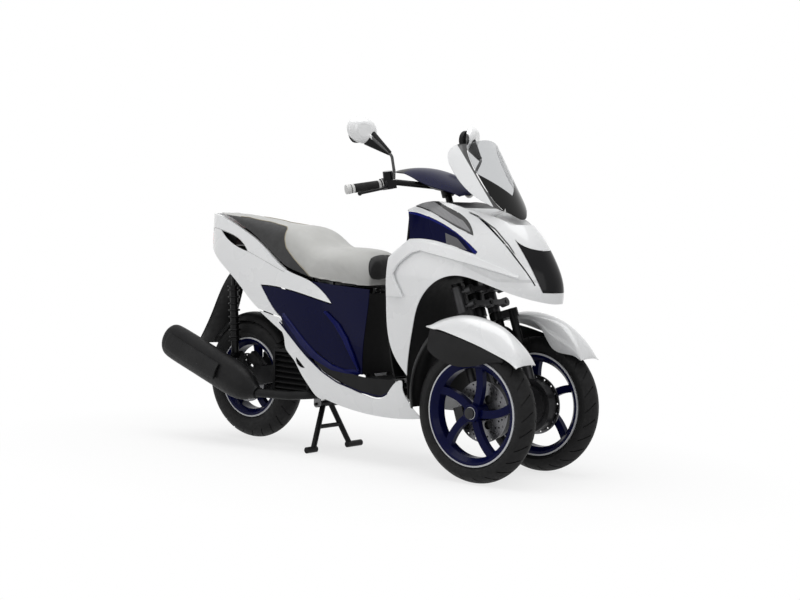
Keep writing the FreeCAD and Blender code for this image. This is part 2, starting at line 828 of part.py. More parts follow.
def make_fender_lower():
    """The black lower part of the right mudguard: a side leaf and a guard behind the tyre."""
    outer_y = -float(wheel_y) - float(S.front_tyre_width) * FENDER_OUTER_SHARE
    leaf_top = outer_y + float(S.panel_wall) + float(S.seat_gap) * 2
    grid = []
    for upper, lower in FENDER_SIDE_SHARES:
        middle = ((upper[0] + lower[0]) / 2, (upper[1] + lower[1]) / 2)
        grid.append([fender_point(upper[0], leaf_top + float(S.panel_wall) / 2, upper[1]),
                     fender_point(middle[0], leaf_top - float(S.panel_wall), middle[1]),
                     fender_point(lower[0], leaf_top + float(S.panel_wall) / 2, lower[1])])
    leaf = panel(grid, S.panel_wall)
    tyre = float(S.front_tyre_diameter) / 2
    half = float(S.front_tyre_width) * 0.60
    sections = []
    axle = Vector(float(front_axle_x), -float(wheel_y) - float(S.rim_wall) / 2,
                  float(front_axle_z))
    steps = 5
    for step in range(steps):
        share = step / (steps - 1)
        degrees = FENDER_REAR_ANGLES[0] + (FENDER_REAR_ANGLES[1] - FENDER_REAR_ANGLES[0]) * share
        reach_share = (FENDER_REAR_REACH_SHARES[0] * (1 - share)
                       + FENDER_REAR_REACH_SHARES[1] * share)
        sections.append(arched_section(axle, math.radians(degrees), tyre * reach_share,
                                       float(S.panel_wall), half,
                                       float(S.front_tyre_width) * 0.36))
    guard = Part.makeLoft(sections, True, False)
    return leaf.fuse(guard)


# Front bodywork, cut out of one hull. Each row of the hull is a level: height, half width,
# rear edge and nose tip.

FRONT_LEVEL_SHARES = [
    (0.220, 0.455, 0.176, 0.560),
    (0.330, 0.488, 0.176, 0.615),
    (0.400, 0.497, 0.176, 0.640),
    (0.460, 0.500, 0.177, 0.652),
    (0.520, 0.500, 0.178, 0.658),
    (0.570, 0.497, 0.178, 0.660),
    (0.620, 0.490, 0.180, 0.645),
    (0.670, 0.465, 0.186, 0.619),
    (0.720, 0.415, 0.193, 0.585),
    (0.760, 0.378, 0.198, 0.548),
    (0.800, 0.325, 0.215, 0.510),
    (0.840, 0.265, 0.240, 0.455),
]
TUNNEL_SHARES = [
    [(0.252, 0.150), (0.252, 0.285)],
    [(0.252, 0.285), (0.262, 0.360), (0.277, 0.445), (0.292, 0.505), (0.321, 0.554),
     (0.366, 0.588), (0.418, 0.598), (0.478, 0.584), (0.553, 0.555), (0.610, 0.535),
     (0.655, 0.522)],
    [(0.655, 0.522), (0.720, 0.515)],
    [(0.720, 0.515), (0.720, 0.150)],
    [(0.720, 0.150), (0.252, 0.150)],
]
COWL_TOP_SHARES = [
    [(0.150, 0.786), (0.198, 0.786)],
    [(0.198, 0.786), (0.215, 0.790), (0.240, 0.802)],
    [(0.240, 0.802), (0.290, 0.815), (0.340, 0.811), (0.415, 0.790), (0.480, 0.772),
     (0.530, 0.748)],
    [(0.530, 0.748), (0.620, 0.748)],
    [(0.620, 0.748), (0.620, 0.900)],
    [(0.620, 0.900), (0.150, 0.900)],
    [(0.150, 0.900), (0.150, 0.786)],
]
COWL_REAR_SHARES = [
    [(0.140, 0.560), (0.178, 0.560)],
    [(0.178, 0.560), (0.182, 0.500), (0.192, 0.400), (0.210, 0.351), (0.240, 0.308),
     (0.262, 0.280)],
    [(0.262, 0.280), (0.262, 0.200)],
    [(0.262, 0.200), (0.140, 0.200)],
    [(0.140, 0.200), (0.140, 0.560)],
]
SHOULDER_SHARES = [
    [(0.140, 0.645), (0.183, 0.645)],
    [(0.183, 0.645), (0.212, 0.672), (0.245, 0.701)],
    [(0.245, 0.701), (0.236, 0.735), (0.215, 0.790)],
    [(0.215, 0.790), (0.140, 0.790)],
    [(0.140, 0.790), (0.140, 0.645)],
]
SHOULDER_INNER_SHARE = 0.30
INSERT_SHARES = [
    [(0.165, 0.775), (0.222, 0.784), (0.250, 0.781)],
    [(0.250, 0.781), (0.418, 0.706), (0.466, 0.668)],
    [(0.466, 0.668), (0.462, 0.661)],
    [(0.462, 0.661), (0.390, 0.684), (0.328, 0.699), (0.262, 0.703)],
    [(0.262, 0.703), (0.165, 0.695)],
    [(0.165, 0.695), (0.165, 0.775)],
]
SIDE_LAMP_SHARES = [
    [(0.232, 0.800), (0.245, 0.817), (0.272, 0.826), (0.300, 0.822)],
    [(0.300, 0.822), (0.356, 0.793), (0.405, 0.768), (0.430, 0.742), (0.443, 0.716)],
    [(0.443, 0.716), (0.362, 0.752), (0.292, 0.784), (0.232, 0.800)],
]
NOSE_LAMP_SHARES = [
    [(0.553, 0.706), (0.576, 0.688), (0.600, 0.678), (0.720, 0.678)],
    [(0.720, 0.678), (0.720, 0.552)],
    [(0.720, 0.552), (0.638, 0.555)],
    [(0.638, 0.555), (0.626, 0.586), (0.605, 0.628), (0.579, 0.670), (0.553, 0.706)],
]
GROOVE_SHARES = [
    [(0.430, 0.778), (0.454, 0.764), (0.505, 0.722), (0.541, 0.687), (0.570, 0.653),
     (0.598, 0.617), (0.623, 0.576)],
    [(0.623, 0.576), (0.620, 0.574)],
    [(0.620, 0.574), (0.595, 0.615), (0.567, 0.650), (0.538, 0.684), (0.502, 0.718),
     (0.452, 0.760), (0.430, 0.776)],
    [(0.430, 0.776), (0.430, 0.778)],
]
LEG_SHIELD_SHARES = [
    [(0.207, 0.770), (0.200, 0.700), (0.191, 0.610), (0.187, 0.500), (0.189, 0.400),
     (0.196, 0.330), (0.204, 0.284)],
    [(0.204, 0.284), (0.209, 0.284)],
    [(0.209, 0.284), (0.201, 0.331), (0.194, 0.401), (0.192, 0.500), (0.196, 0.610),
     (0.205, 0.700), (0.212, 0.770)],
    [(0.212, 0.770), (0.207, 0.770)],
]


def side_point(x_share, z_share):
    """A point of the middle plane, from its shares."""
    return Vector(along(x_share), 0, up(z_share))


def side_face(strokes):
    """A flat face in the middle plane, from strokes of shares."""
    return Part.Face(chain(strokes, side_point))


def through(face):
    """A prism from the middle plane out past the right side."""
    return face.extrude(Vector(0, -float(S.body_width), 0))


def both_sides(right):
    """The right half of a piece with its left half."""
    left = right.mirror(Vector(0, 0, 0), Vector(0, 1, 0))
    if right.BoundBox.YMax < -float(S.seat_gap):
        return Part.makeCompound([right, left])
    return right.fuse(left).removeSplitter()


POINTS_PER_EDGE = 9


def grown(face, margin):
    """The same face with its outline moved outwards, or inwards for a negative margin."""
    moved = face.makeOffset2D(float(margin))
    edges = []
    for edge in moved.OuterWire.OrderedEdges:
        plain = isinstance(edge.Curve, (Part.Line, Part.Circle))
        edges.append(edge if plain else spline(edge.discretize(POINTS_PER_EDGE)))
    return Part.Face(Part.Wire(edges))


def front_hull(inset):
    """The closed front hull, drawn in by the inset and then open at the rear."""
    wires = []
    for z_share, half_share, rear_share, tip_share in FRONT_LEVEL_SHARES:
        half = across(half_share) - inset
        rear = along(rear_share) - inset
        tip = along(tip_share) - inset
        wires.append(nose_outline(half, rear, tip, up(z_share)))
    return Part.makeLoft(wires, True, False)


def nose_outline(half, rear, tip, z):
    """The right half of a level outline: a quarter ellipse from the rear edge to the tip."""
    count = 7
    points = []
    for index in range(count):
        angle = math.pi / 2 * index / (count - 1)
        points.append(Vector(rear + (tip - rear) * math.sin(angle), -half * math.cos(angle), z))
    side = Part.BSplineCurve()
    side.interpolate(Points=points, InitialTangent=Vector(1, 0, 0), FinalTangent=Vector(0, 1, 0))
    corner = Vector(rear, 0, z)
    return Part.Wire([side.toShape(), Part.LineSegment(points[-1], corner).toShape(),
                      Part.LineSegment(corner, points[0]).toShape()])


def steering_drum(diameter):
    """A long cylinder about the handlebar's steering axis."""
    reach = float(S.overall_height)
    rod = Part.makeCylinder(float(diameter) / 2, reach)
    rod.Placement = steering_frame(0)
    return rod


def half_space_before(x):
    """A large block that ends at this place along the vehicle."""
    reach = float(S.wheel_base)
    return Part.makeBox(reach, reach, reach, Vector(x - reach, -reach / 2, 0))


PANEL_POST_SHARES = [
    # the panel that it stands on, what it carries, its root and its tip
    ("wheel_liner", "nose_lamp", (0.5895, -0.048, 0.5455), (0.640, -0.048, 0.6255)),
    ("wheel_liner", "dash", (0.4215, -0.100, 0.600), (0.4215, -0.100, 0.785)),
    ("dash", "windscreen", (0.4635, -0.145, 0.776), (0.510, -0.145, 0.791)),
]


def make_front_panels():
    """Every front panel, cut from the same hull so that the shut lines match."""
    wall = float(S.panel_wall)
    gap = float(S.panel_gap)
    outside = front_hull(0)
    inside = front_hull(wall)
    clear = front_hull(wall + float(S.seat_gap))
    tunnel = side_face(TUNNEL_SHARES)
    top = side_face(COWL_TOP_SHARES)
    waste = through(tunnel).fuse(through(top))
    shoulder = through(side_face(SHOULDER_SHARES))
    shoulder.translate(Vector(0, -across(SHOULDER_INNER_SHARE), 0))
    skin = outside.cut(inside).cut(waste).cut(shoulder)
    insert = side_face(INSERT_SHARES)
    lamp = side_face(SIDE_LAMP_SHARES)
    nose = side_face(NOSE_LAMP_SHARES)
    groove = side_face(GROOVE_SHARES)
    cowl = skin.cut(through(side_face(COWL_REAR_SHARES)))
    for face in (insert, lamp, nose):
        cowl = cowl.cut(through(grown(face, gap / 2)))
    cowl = cowl.cut(through(groove))
    pieces = {
        "front_cowl": cowl,
        "side_inserts": skin.common(through(grown(insert, -gap / 2))),
        "side_lamps": skin.common(through(grown(lamp, -gap / 2))),
        "nose_lamp": skin.common(through(grown(nose, -gap / 2))),
    }
    shield = through(side_face(LEG_SHIELD_SHARES))
    pieces["leg_shield"] = clear.common(shield).cut(shoulder)
    liner_wall = float(S.liner_wall)
    liner = through(grown(tunnel, liner_wall)).cut(through(tunnel))
    liner = clear.common(liner)
    head_room = steering_drum(S.head_pipe_diameter + S.moving_clearance * 2)
    pieces["wheel_liner"] = liner.cut(head_room)
    dash = through(grown(top, gap + liner_wall)).cut(through(grown(top, gap)))
    behind = along(LEG_SHIELD_SHARES[2][-1][0]) + gap
    dash = clear.common(dash).cut(half_space_before(behind))
    pieces["dash"] = dash.cut(head_room)
    for name, carried, root, tip in PANEL_POST_SHARES:
        ends = [(along(x), across(y), up(z)) for x, y, z in (root, tip)]
        post = straight_tube(ends, S.hinge_pin_diameter * 1.4)
        post = post.cut(pieces[carried] if carried in pieces else NODES[carried].Shape)
        pieces[name] = pieces[name].fuse(max(post.Solids, key=lambda item: item.Volume))
    return {name: both_sides(shape) for name, shape in pieces.items()}


# Rear bodywork, cut out of two hulls that share one plan

REAR_PLAN_SHARES = (-0.691, -0.687, -0.672, -0.640, -0.611, -0.534, -0.458, -0.382, -0.305,
                    -0.229, -0.153, -0.076, 0.000, 0.073)
REAR_LEVEL_SHARES = [
    # height, then the half width at each plan station
    (0.130, (0.010, 0.050, 0.105, 0.170, 0.210, 0.270, 0.305, 0.335, 0.360, 0.380, 0.395, 0.400,
             0.400, 0.395)),
    (0.250, (0.010, 0.055, 0.115, 0.185, 0.230, 0.285, 0.321, 0.350, 0.374, 0.394, 0.408, 0.413,
             0.413, 0.408)),
    (0.460, (0.010, 0.055, 0.115, 0.185, 0.230, 0.285, 0.321, 0.350, 0.374, 0.394, 0.406, 0.405,
             0.388, 0.350)),
    (0.580, (0.010, 0.055, 0.112, 0.180, 0.222, 0.275, 0.307, 0.333, 0.355, 0.370, 0.372, 0.357,
             0.314, 0.258)),
    (0.680, (0.010, 0.050, 0.105, 0.170, 0.205, 0.250, 0.280, 0.300, 0.320, 0.335, 0.340, 0.325,
             0.285, 0.240)),
    (0.790, (0.010, 0.040, 0.085, 0.130, 0.155, 0.190, 0.215, 0.235, 0.250, 0.260, 0.265, 0.255,
             0.230, 0.200)),
]
TAIL_SHARES = [
    [(-0.720, 0.650), (-0.720, 0.770)],
    [(-0.720, 0.770), (-0.660, 0.768), (-0.580, 0.752), (-0.535, 0.736), (-0.466, 0.709),
     (-0.381, 0.666), (-0.301, 0.612), (-0.256, 0.589), (-0.214, 0.576), (-0.157, 0.559)],
    [(-0.157, 0.559), (-0.105, 0.530), (-0.061, 0.490)],
    [(-0.061, 0.490), (-0.145, 0.508), (-0.266, 0.530), (-0.374, 0.536)],
    [(-0.374, 0.536), (-0.350, 0.508), (-0.318, 0.472), (-0.273, 0.436)],
    [(-0.273, 0.436), (-0.379, 0.456)],
    [(-0.379, 0.456), (-0.428, 0.488), (-0.479, 0.528), (-0.560, 0.583), (-0.662, 0.646)],
    [(-0.662, 0.646), (-0.720, 0.650)],
]
RAIL_SLOT_SHARES = [
    [(-0.600, 0.712), (-0.553, 0.702), (-0.498, 0.684), (-0.448, 0.643)],
    [(-0.448, 0.643), (-0.500, 0.656), (-0.560, 0.682), (-0.600, 0.712)],
]
GRAB_RAIL_SHARES = [
    [(-0.720, 0.724), (-0.655, 0.721), (-0.600, 0.714), (-0.553, 0.704), (-0.498, 0.686),
     (-0.448, 0.645)],
    [(-0.448, 0.645), (-0.366, 0.617), (-0.267, 0.583)],
    [(-0.267, 0.583), (-0.267, 0.800)],
    [(-0.267, 0.800), (-0.720, 0.800)],
    [(-0.720, 0.800), (-0.720, 0.724)],
]
BLUE_SIDE_SHARES = [
    [(-0.374, 0.533), (-0.266, 0.527), (-0.145, 0.505), (-0.061, 0.487)],
    [(-0.061, 0.487), (-0.103, 0.528), (-0.155, 0.558)],
    [(-0.155, 0.558), (-0.099, 0.553), (-0.015, 0.546), (0.060, 0.540)],
    [(0.060, 0.540), (0.072, 0.400), (0.072, 0.277)],
    [(0.072, 0.277), (0.056, 0.277), (-0.008, 0.291), (-0.054, 0.308), (-0.108, 0.338)],
    [(-0.108, 0.338), (-0.122, 0.311)],
    [(-0.122, 0.311), (-0.142, 0.317), (-0.198, 0.358), (-0.250, 0.401), (-0.270, 0.433)],
    [(-0.270, 0.433), (-0.316, 0.470), (-0.348, 0.505), (-0.374, 0.533)],
]
SKIRT_PLAN_SHARES = (-0.382, -0.305, -0.229, -0.153, -0.076, 0.000, 0.076, 0.153, 0.229, 0.305)
SKIRT_LEVEL_SHARES = [
    (0.140, (0.300, 0.325, 0.345, 0.362, 0.375, 0.385, 0.395, 0.402, 0.404, 0.400)),
    (0.180, (0.340, 0.366, 0.388, 0.404, 0.414, 0.424, 0.436, 0.446, 0.452, 0.452)),
    (0.250, (0.356, 0.380, 0.402, 0.418, 0.427, 0.434, 0.446, 0.458, 0.466, 0.468)),
    (0.360, (0.356, 0.380, 0.402, 0.418, 0.426, 0.430, 0.438, 0.448, 0.456, 0.458)),
    (0.470, (0.352, 0.377, 0.398, 0.414, 0.422, 0.424, 0.430, 0.438, 0.446, 0.448)),
]
SKIRT_SHARES = [
    [(-0.379, 0.453), (-0.273, 0.433)],
    [(-0.273, 0.433), (-0.250, 0.398), (-0.199, 0.355), (-0.142, 0.313), (-0.073, 0.272),
     (-0.008, 0.246), (0.057, 0.225), (0.122, 0.212), (0.163, 0.216), (0.184, 0.237),
     (0.211, 0.268)],
    [(0.211, 0.268), (0.236, 0.269), (0.238, 0.251), (0.251, 0.225), (0.270, 0.200),
     (0.298, 0.171)],
    [(0.298, 0.171), (0.298, 0.164)],
    [(0.298, 0.164), (0.227, 0.156), (0.071, 0.159), (-0.039, 0.178), (-0.072, 0.187)],
    [(-0.072, 0.187), (-0.105, 0.190), (-0.140, 0.222), (-0.176, 0.260), (-0.212, 0.304),
     (-0.249, 0.342), (-0.253, 0.368), (-0.263, 0.388)],
    [(-0.263, 0.388), (-0.379, 0.453)],
]
SKIRT_SLOT_SHARES = [
    [(-0.198, 0.312), (-0.159, 0.280)],
    [(-0.159, 0.280), (-0.179, 0.281), (-0.199, 0.300), (-0.198, 0.312)],
]
FLOOR_SIDE_SHARES = [
    [(-0.107, 0.336), (-0.054, 0.306), (-0.008, 0.289), (0.056, 0.275), (0.122, 0.271),
     (0.202, 0.274)],
    [(0.202, 0.274), (0.209, 0.268)],
    [(0.209, 0.268), (0.182, 0.239), (0.163, 0.219), (0.122, 0.215), (0.057, 0.228),
     (-0.008, 0.249), (-0.073, 0.275), (-0.120, 0.306)],
    [(-0.120, 0.306), (-0.107, 0.336)],
]

REAR_LAMP_SHARES = [
    [(-0.720, 0.709), (-0.673, 0.706)],
    [(-0.673, 0.706), (-0.663, 0.686), (-0.667, 0.663)],
    [(-0.667, 0.663), (-0.720, 0.663)],
    [(-0.720, 0.663), (-0.720, 0.709)],
]
POST_COVER_SHARES = [
    [(0.063, 0.527), (0.069, 0.400), (0.069, 0.277)],
    [(0.069, 0.277), (0.066, 0.277)],
    [(0.066, 0.277), (0.066, 0.400), (0.060, 0.527)],
    [(0.060, 0.527), (0.063, 0.527)],
]
FLOOR_SHARES = [
    [(-0.107, 0.332), (-0.054, 0.302), (-0.008, 0.285), (0.056, 0.271), (0.122, 0.267),
     (0.179, 0.268)],
    [(0.179, 0.268), (0.208, 0.281)],
    [(0.208, 0.281), (0.210, 0.277)],
    [(0.210, 0.277), (0.181, 0.265)],
    [(0.181, 0.265), (0.122, 0.263), (0.056, 0.267), (-0.008, 0.281), (-0.054, 0.299),
     (-0.109, 0.328)],
    [(-0.109, 0.328), (-0.107, 0.332)],
]


def plan_outline(plan, halves, z, inset):
    """The right half of a level outline, through the plan stations."""
    first = along(plan[0]) + inset
    points = []
    for x_share, half_share in zip(plan, halves):
        half = max(across(half_share) - inset, float(S.seat_gap))
        points.append(Vector(max(along(x_share), first), -half, z))
    points = [point for index, point in enumerate(points)
              if index == len(points) - 1 or points[index + 1].x > first + inset / 2]
    points[0].x = first
    front = Vector(points[-1].x, 0, z)
    rear = Vector(first, 0, z)
    return Part.Wire([spline(points), Part.LineSegment(points[-1], front).toShape(),
                      Part.LineSegment(front, rear).toShape(),
                      Part.LineSegment(rear, points[0]).toShape()])


def plan_hull(plan, levels, inset=0):
    """A closed hull lofted through level outlines."""
    wires = [plan_outline(plan, halves, up(z_share), inset) for z_share, halves in levels]
    return Part.makeLoft(wires, True, False)


def make_rear_panels():
    """The tail, its grab rail, the coloured sides, the skirts and the floor's edges."""
    wall = float(S.panel_wall)
    gap = float(S.panel_gap)
    outside = plan_hull(REAR_PLAN_SHARES, REAR_LEVEL_SHARES)
    inside = plan_hull(REAR_PLAN_SHARES, REAR_LEVEL_SHARES, wall)
    skin = outside.cut(inside)
    rail = side_face(GRAB_RAIL_SHARES)
    slot = side_face(RAIL_SLOT_SHARES)
    tail = side_face(TAIL_SHARES)
    blue = side_face(BLUE_SIDE_SHARES)
    thick = outside.cut(plan_hull(REAR_PLAN_SHARES, REAR_LEVEL_SHARES,
                                  float(S.rail_diameter) * 0.6))
    pieces = {}
    open_slot = through(slot)
    tail_prism = through(grown(tail, -gap / 2)).cut(open_slot)
    lamp = side_face(REAR_LAMP_SHARES)
    tail_prism_below = tail_prism.cut(through(grown(rail, gap)))
    pieces["tail_cowl"] = skin.common(tail_prism_below.cut(through(grown(lamp, gap))))
    pieces["rear_lamp"] = skin.common(tail_prism_below.common(through(lamp)))
    pieces["grab_rail"] = thick.common(tail_prism.common(through(rail)))
    beside_tail = through(grown(blue, -gap / 2)).cut(through(grown(tail, gap)))
    pieces["body_sides"] = skin.common(beside_tail)
    skirt_outside = plan_hull(SKIRT_PLAN_SHARES, SKIRT_LEVEL_SHARES)
    skirt_inside = plan_hull(SKIRT_PLAN_SHARES, SKIRT_LEVEL_SHARES, wall)
    skirt_skin = skirt_outside.cut(skirt_inside)
    skirt = through(grown(side_face(SKIRT_SHARES), -gap / 2))
    pieces["side_skirts"] = skirt_skin.common(skirt.cut(through(side_face(SKIRT_SLOT_SHARES))))
    floor_edge = through(grown(side_face(FLOOR_SIDE_SHARES), -gap / 2))
    edges = skirt_skin.common(floor_edge)
    seated = wall + float(S.seat_gap)
    within_sides = plan_hull(REAR_PLAN_SHARES, REAR_LEVEL_SHARES, seated)
    pieces["seat_post_cover"] = within_sides.common(through(side_face(POST_COVER_SHARES)))
    within_skirt = plan_hull(SKIRT_PLAN_SHARES, SKIRT_LEVEL_SHARES, seated)
    board = within_skirt.common(through(side_face(FLOOR_SHARES))).cut(outside)
    pieces = {name: both_sides(shape) for name, shape in pieces.items()}
    pieces["floor"] = Part.makeCompound([both_sides(board), *both_sides(edges).Solids])
    return pieces


# Windscreen and its painted surround, on one curved sheet

SCREEN_LINE_SHARES = ((0.534, 0.762), (0.505, 0.815), (0.460, 0.895), (0.405, 0.993))
SCREEN_CURL = 0.0036
SCREEN_ROW_SHARES = [
    # height at the middle and at the edge, and half width
    (0.763, 0.776, 0.095),
    (0.790, 0.800, 0.185),
    (0.850, 0.850, 0.226),
    (0.920, 0.912, 0.243),
    (0.975, 0.962, 0.232),
    (0.997, 0.984, 0.198),
]
SURROUND_ROW_SHARES = [
    # height and half width at the screen's edge, then at the outer edge
    (0.784, 0.120, 0.790, 0.170),
    (0.806, 0.197, 0.816, 0.290),
    (0.850, 0.232, 0.856, 0.362),
    (0.912, 0.249, 0.912, 0.388),
    (0.962, 0.238, 0.958, 0.366),
    (0.985, 0.214, 0.984, 0.275),
]


def screen_x(y, z):
    """The place along the vehicle of the curved sheet at this width and height."""
    foot, low, high, head = (Vector(along(x), up(z), 0) for x, z in SCREEN_LINE_SHARES)
    levels = (foot, low, high, head)
    for below, above in zip(levels, levels[1:]):
        if z <= above.y or above is head:
            share = (z - below.y) / (above.y - below.y)
            middle = below.x + (above.x - below.x) * share
            break
    return middle - SCREEN_CURL * y * y


def screen_point(y, z):
    """A point on the curved sheet."""
    return Vector(screen_x(y, z), y, z)


def make_windscreen():
    """The clear screen."""
    grid = []
    for middle_share, edge_share, half_share in SCREEN_ROW_SHARES:
        row = []
        for across_share in (-1, -0.6, -0.2, 0.2, 0.6, 1):
            bend = across_share ** 2
            z = up(middle_share * (1 - bend) + edge_share * bend)
            row.append(screen_point(across(half_share) * across_share, z))
        grid.append(row)
    return panel(grid, S.screen_wall)


def make_surround():
    """The right wing of the surround, outboard of the screen."""
    grid = []
    for in_z, in_half, out_z, out_half in SURROUND_ROW_SHARES:
        row = []
        for share in (0, 0.35, 0.7, 1):
            half = in_half + (out_half - in_half) * share
            row.append(screen_point(-across(half), up(in_z + (out_z - in_z) * share)))
        grid.append(row)
    right = panel(grid, S.panel_wall)
    return both_sides(right)


# Frame


def plate_through(name, centre, diameter, low_y, high_y):
    """A round boss that lies across the vehicle."""
    x, z = centre
    return drum(name, (x, low_y, z), diameter, high_y - low_y, ALONG_Y)


MOUNT_SHARES = [
    # what it carries, then the end in the frame and the end in that panel
    ("leg_shield", (0.249, 0.000, 0.494), (0.190, 0.000, 0.494)),
    ("leg_shield", (0.229, 0.000, 0.329), (0.199, 0.000, 0.329)),
    ("body_sides", (-0.229, -0.292, 0.461), (-0.229, -0.390, 0.461)),
    ("tail_cowl", (-0.458, -0.246, 0.586), (-0.458, -0.302, 0.586)),
    ("side_skirts", (0.014, -0.242, 0.222), (0.014, -0.433, 0.222)),
    ("side_skirts", (0.200, -0.242, 0.225), (0.200, -0.460, 0.222)),
    ("floor", (0.120, -0.242, 0.229), (0.120, -0.242, 0.2654)),
    ("floor", (0.179, -0.242, 0.231), (0.179, -0.242, 0.2654)),
    ("grab_rail", (-0.588, -0.109, 0.647), (-0.588, -0.186, 0.722)),
    ("rear_lamp", (-0.588, -0.050, 0.647), (-0.6869, -0.050, 0.675)),
    ("rear_fender", (-0.588, -0.050, 0.647), (-0.588, -0.050, 0.5675)),
]


def seated_bar(ends, diameter, *carried):
    """A mounting bar that is cut back to the faces of what it carries."""
    bar = straight_tube(ends, diameter)
    for panel_name in carried:
        bar = bar.cut(NODES[panel_name].Shape)
    return max(bar.Solids, key=lambda item: item.Volume)


def frame_mounts():
    """The bars between the frame's tubes and the panels."""
    bars = []
    for panel_name, root, tip in MOUNT_SHARES:
        sides = (1,) if root[1] == 0 else (1, -1)
        for side in sides:
            ends = [(along(x), across(y * side), up(z)) for x, y, z in (root, tip)]
            bars.append(seated_bar(ends, S.hinge_pin_diameter * 1.4, panel_name))
    return bars


def side_stand_lug():
    """The lug on the left floor tube that holds the side stand's knuckle."""
    tube = float(S.stand_tube_diameter) * 0.8
    hinge = Vector(SIDE_STAND_X, across(0.304), SIDE_STAND_Z)
    face = hinge + SIDE_STAND_AXIS * (tube / 2 + float(S.seat_gap))
    boss = Part.makeCylinder(tube * 0.7, tube * 0.4, face, SIDE_STAND_AXIS)
    foot = face + SIDE_STAND_AXIS * (tube * 0.33)
    arm = straight_tube([tuple(foot), (SIDE_STAND_X, across(0.242), up(0.225))], tube * 0.4)
    room = Part.makeCylinder(tube * 2, tube * 2, face, -SIDE_STAND_AXIS)
    return boss.fuse(arm.cut(room))


def make_frame():
    """The tubular frame with its head pipe, seat hinge lugs, shock tube and panel mounts."""
    tube = S.frame_tube_diameter
    rail = S.rail_diameter
    bend = float(tube) * 2.2
    main = [
        (along(0.340), across(0.000), up(0.611)),
        (along(0.256), across(0.000), up(0.527)),
        (along(0.229), across(0.000), up(0.395)),
        (along(0.229), across(0.000), up(0.234)),
    ]
    sides = []
    floor_side = [
        (along(0.229), across(0.000), up(0.234)),
        (along(0.229), across(-0.242), up(0.234)),
        (along(-0.046), across(-0.242), up(0.216)),
        (along(-0.115), across(-0.273), up(0.272)),
        (along(-0.229), across(-0.292), up(0.461)),
        (along(-0.324), across(-0.292), up(0.531)),
        (along(-0.458), across(-0.246), up(0.586)),
        (along(-0.595), across(-0.101), up(0.650)),
    ]
    post = [
        (along(0.014), across(-0.145), up(0.218)),
        (along(0.034), across(-0.145), up(0.346)),
        (along(0.034), across(-0.145), up(0.514)),
    ]
    cross_low = [
        (along(0.034), across(-0.145), up(0.494)),
        (along(0.034), across(0.145), up(0.494)),
    ]
    cross_floor = [
        (along(0.014), across(-0.242), up(0.222)),
        (along(0.014), across(0.242), up(0.222)),
    ]
    cross_rear = [
        (along(-0.588), across(-0.109), up(0.647)),
        (along(-0.588), across(0.109), up(0.647)),
    ]
    shock_bridge = [
        (along(-0.527), across(-0.174), up(0.616)),
        (along(-0.536), across(-0.188), up(0.568)),
        (along(-0.536), across(0.188), up(0.568)),
        (along(-0.527), across(0.174), up(0.616)),
    ]
    right = [
        bent_tube(floor_side, rail, bend),
        bent_tube(post, rail, bend),
    ]
    tubes = [bent_tube(main, tube, bend), *right]
    tubes += [item.mirror(Vector(0, 0, 0), Vector(0, 1, 0)) for item in right]
    tubes += [straight_tube(ends, rail) for ends in (cross_low, cross_floor, cross_rear)]
    tubes.append(bent_tube(shock_bridge, rail * 0.8, float(rail)))
    tubes += [*frame_mounts(), side_stand_lug()]
    shape = tubes[0]
    for item in tubes[1:]:
        shape = shape.fuse(item)
    web = solid("frame_tubes", shape)
    webs = []
    for side, sign in (("right", -1), ("left", 1)):
        y = S.shock_spread / 2 * sign
        webs.append(plate_through(f"frame_{side}_shock_pin", (UPPER_EYE_X, UPPER_EYE_Z),
                                  EYE_BORE, y - rail * (0.5 if sign < 0 else 1.6),
                                  y + rail * (1.6 if sign < 0 else 0.5)))
        inner = S.hinge_pin_diameter * 5.8 * sign
        lug = S.hinge_pin_diameter
        foot = inner if sign > 0 else inner - lug
        webs.append(block(f"frame_{side}_hinge_web", (along(0.034), foot, up(0.504)),
                          (lug * 1.9, lug, up(0.027))))
        webs.append(plate_through(f"frame_{side}_hinge_lug", (HINGE_X, HINGE_Z),
                                  lug * 2, foot, foot + lug))
    head = drum("head_pipe", (0, 0, PIPE_FOOT - S.crown_thickness / 2), S.head_pipe_diameter,
                PIPE_LENGTH * 2)
    pins = [arm_pin(f"head_pipe_pin_{number}", rise) for number, rise in enumerate(ARM_RISES)]
    head_solid = fused("head_solid", head, *pins)
    head_solid.Placement = steering_frame(0)
    bore = drum("head_bore", steering_point(0, 0, 0), S.head_stem_diameter + S.pin_clearance * 2,
                S.overall_height, STEERING_TILT)
    hinge_bore = plate_through("frame_hinge_bore", (HINGE_X, HINGE_Z),
                               S.hinge_pin_diameter + S.pin_clearance * 2,
                               -S.tub_width / 2, S.tub_width / 2)
    everything = fused("frame_solid", web, head_solid, *webs)
    everything.Refine = False
    return keep(cut("frame", cut("frame_bored", everything, bore), hinge_bore))


HINGE_X = along(0.049)
HINGE_Z = up(0.533)
SIDE_STAND_X = along(0.069)
SIDE_STAND_Z = up(0.196)
SIDE_STAND_AXIS = Vector(0, -0.9, -0.435).normalize()


def straight_tube(ends, diameter):
    """A straight round bar between two points."""
    low, high = (Vector(*map(float, point)) for point in ends)
    return Part.makeCylinder(float(diameter) / 2, (high - low).Length, low, high - low)


# Seat and storage

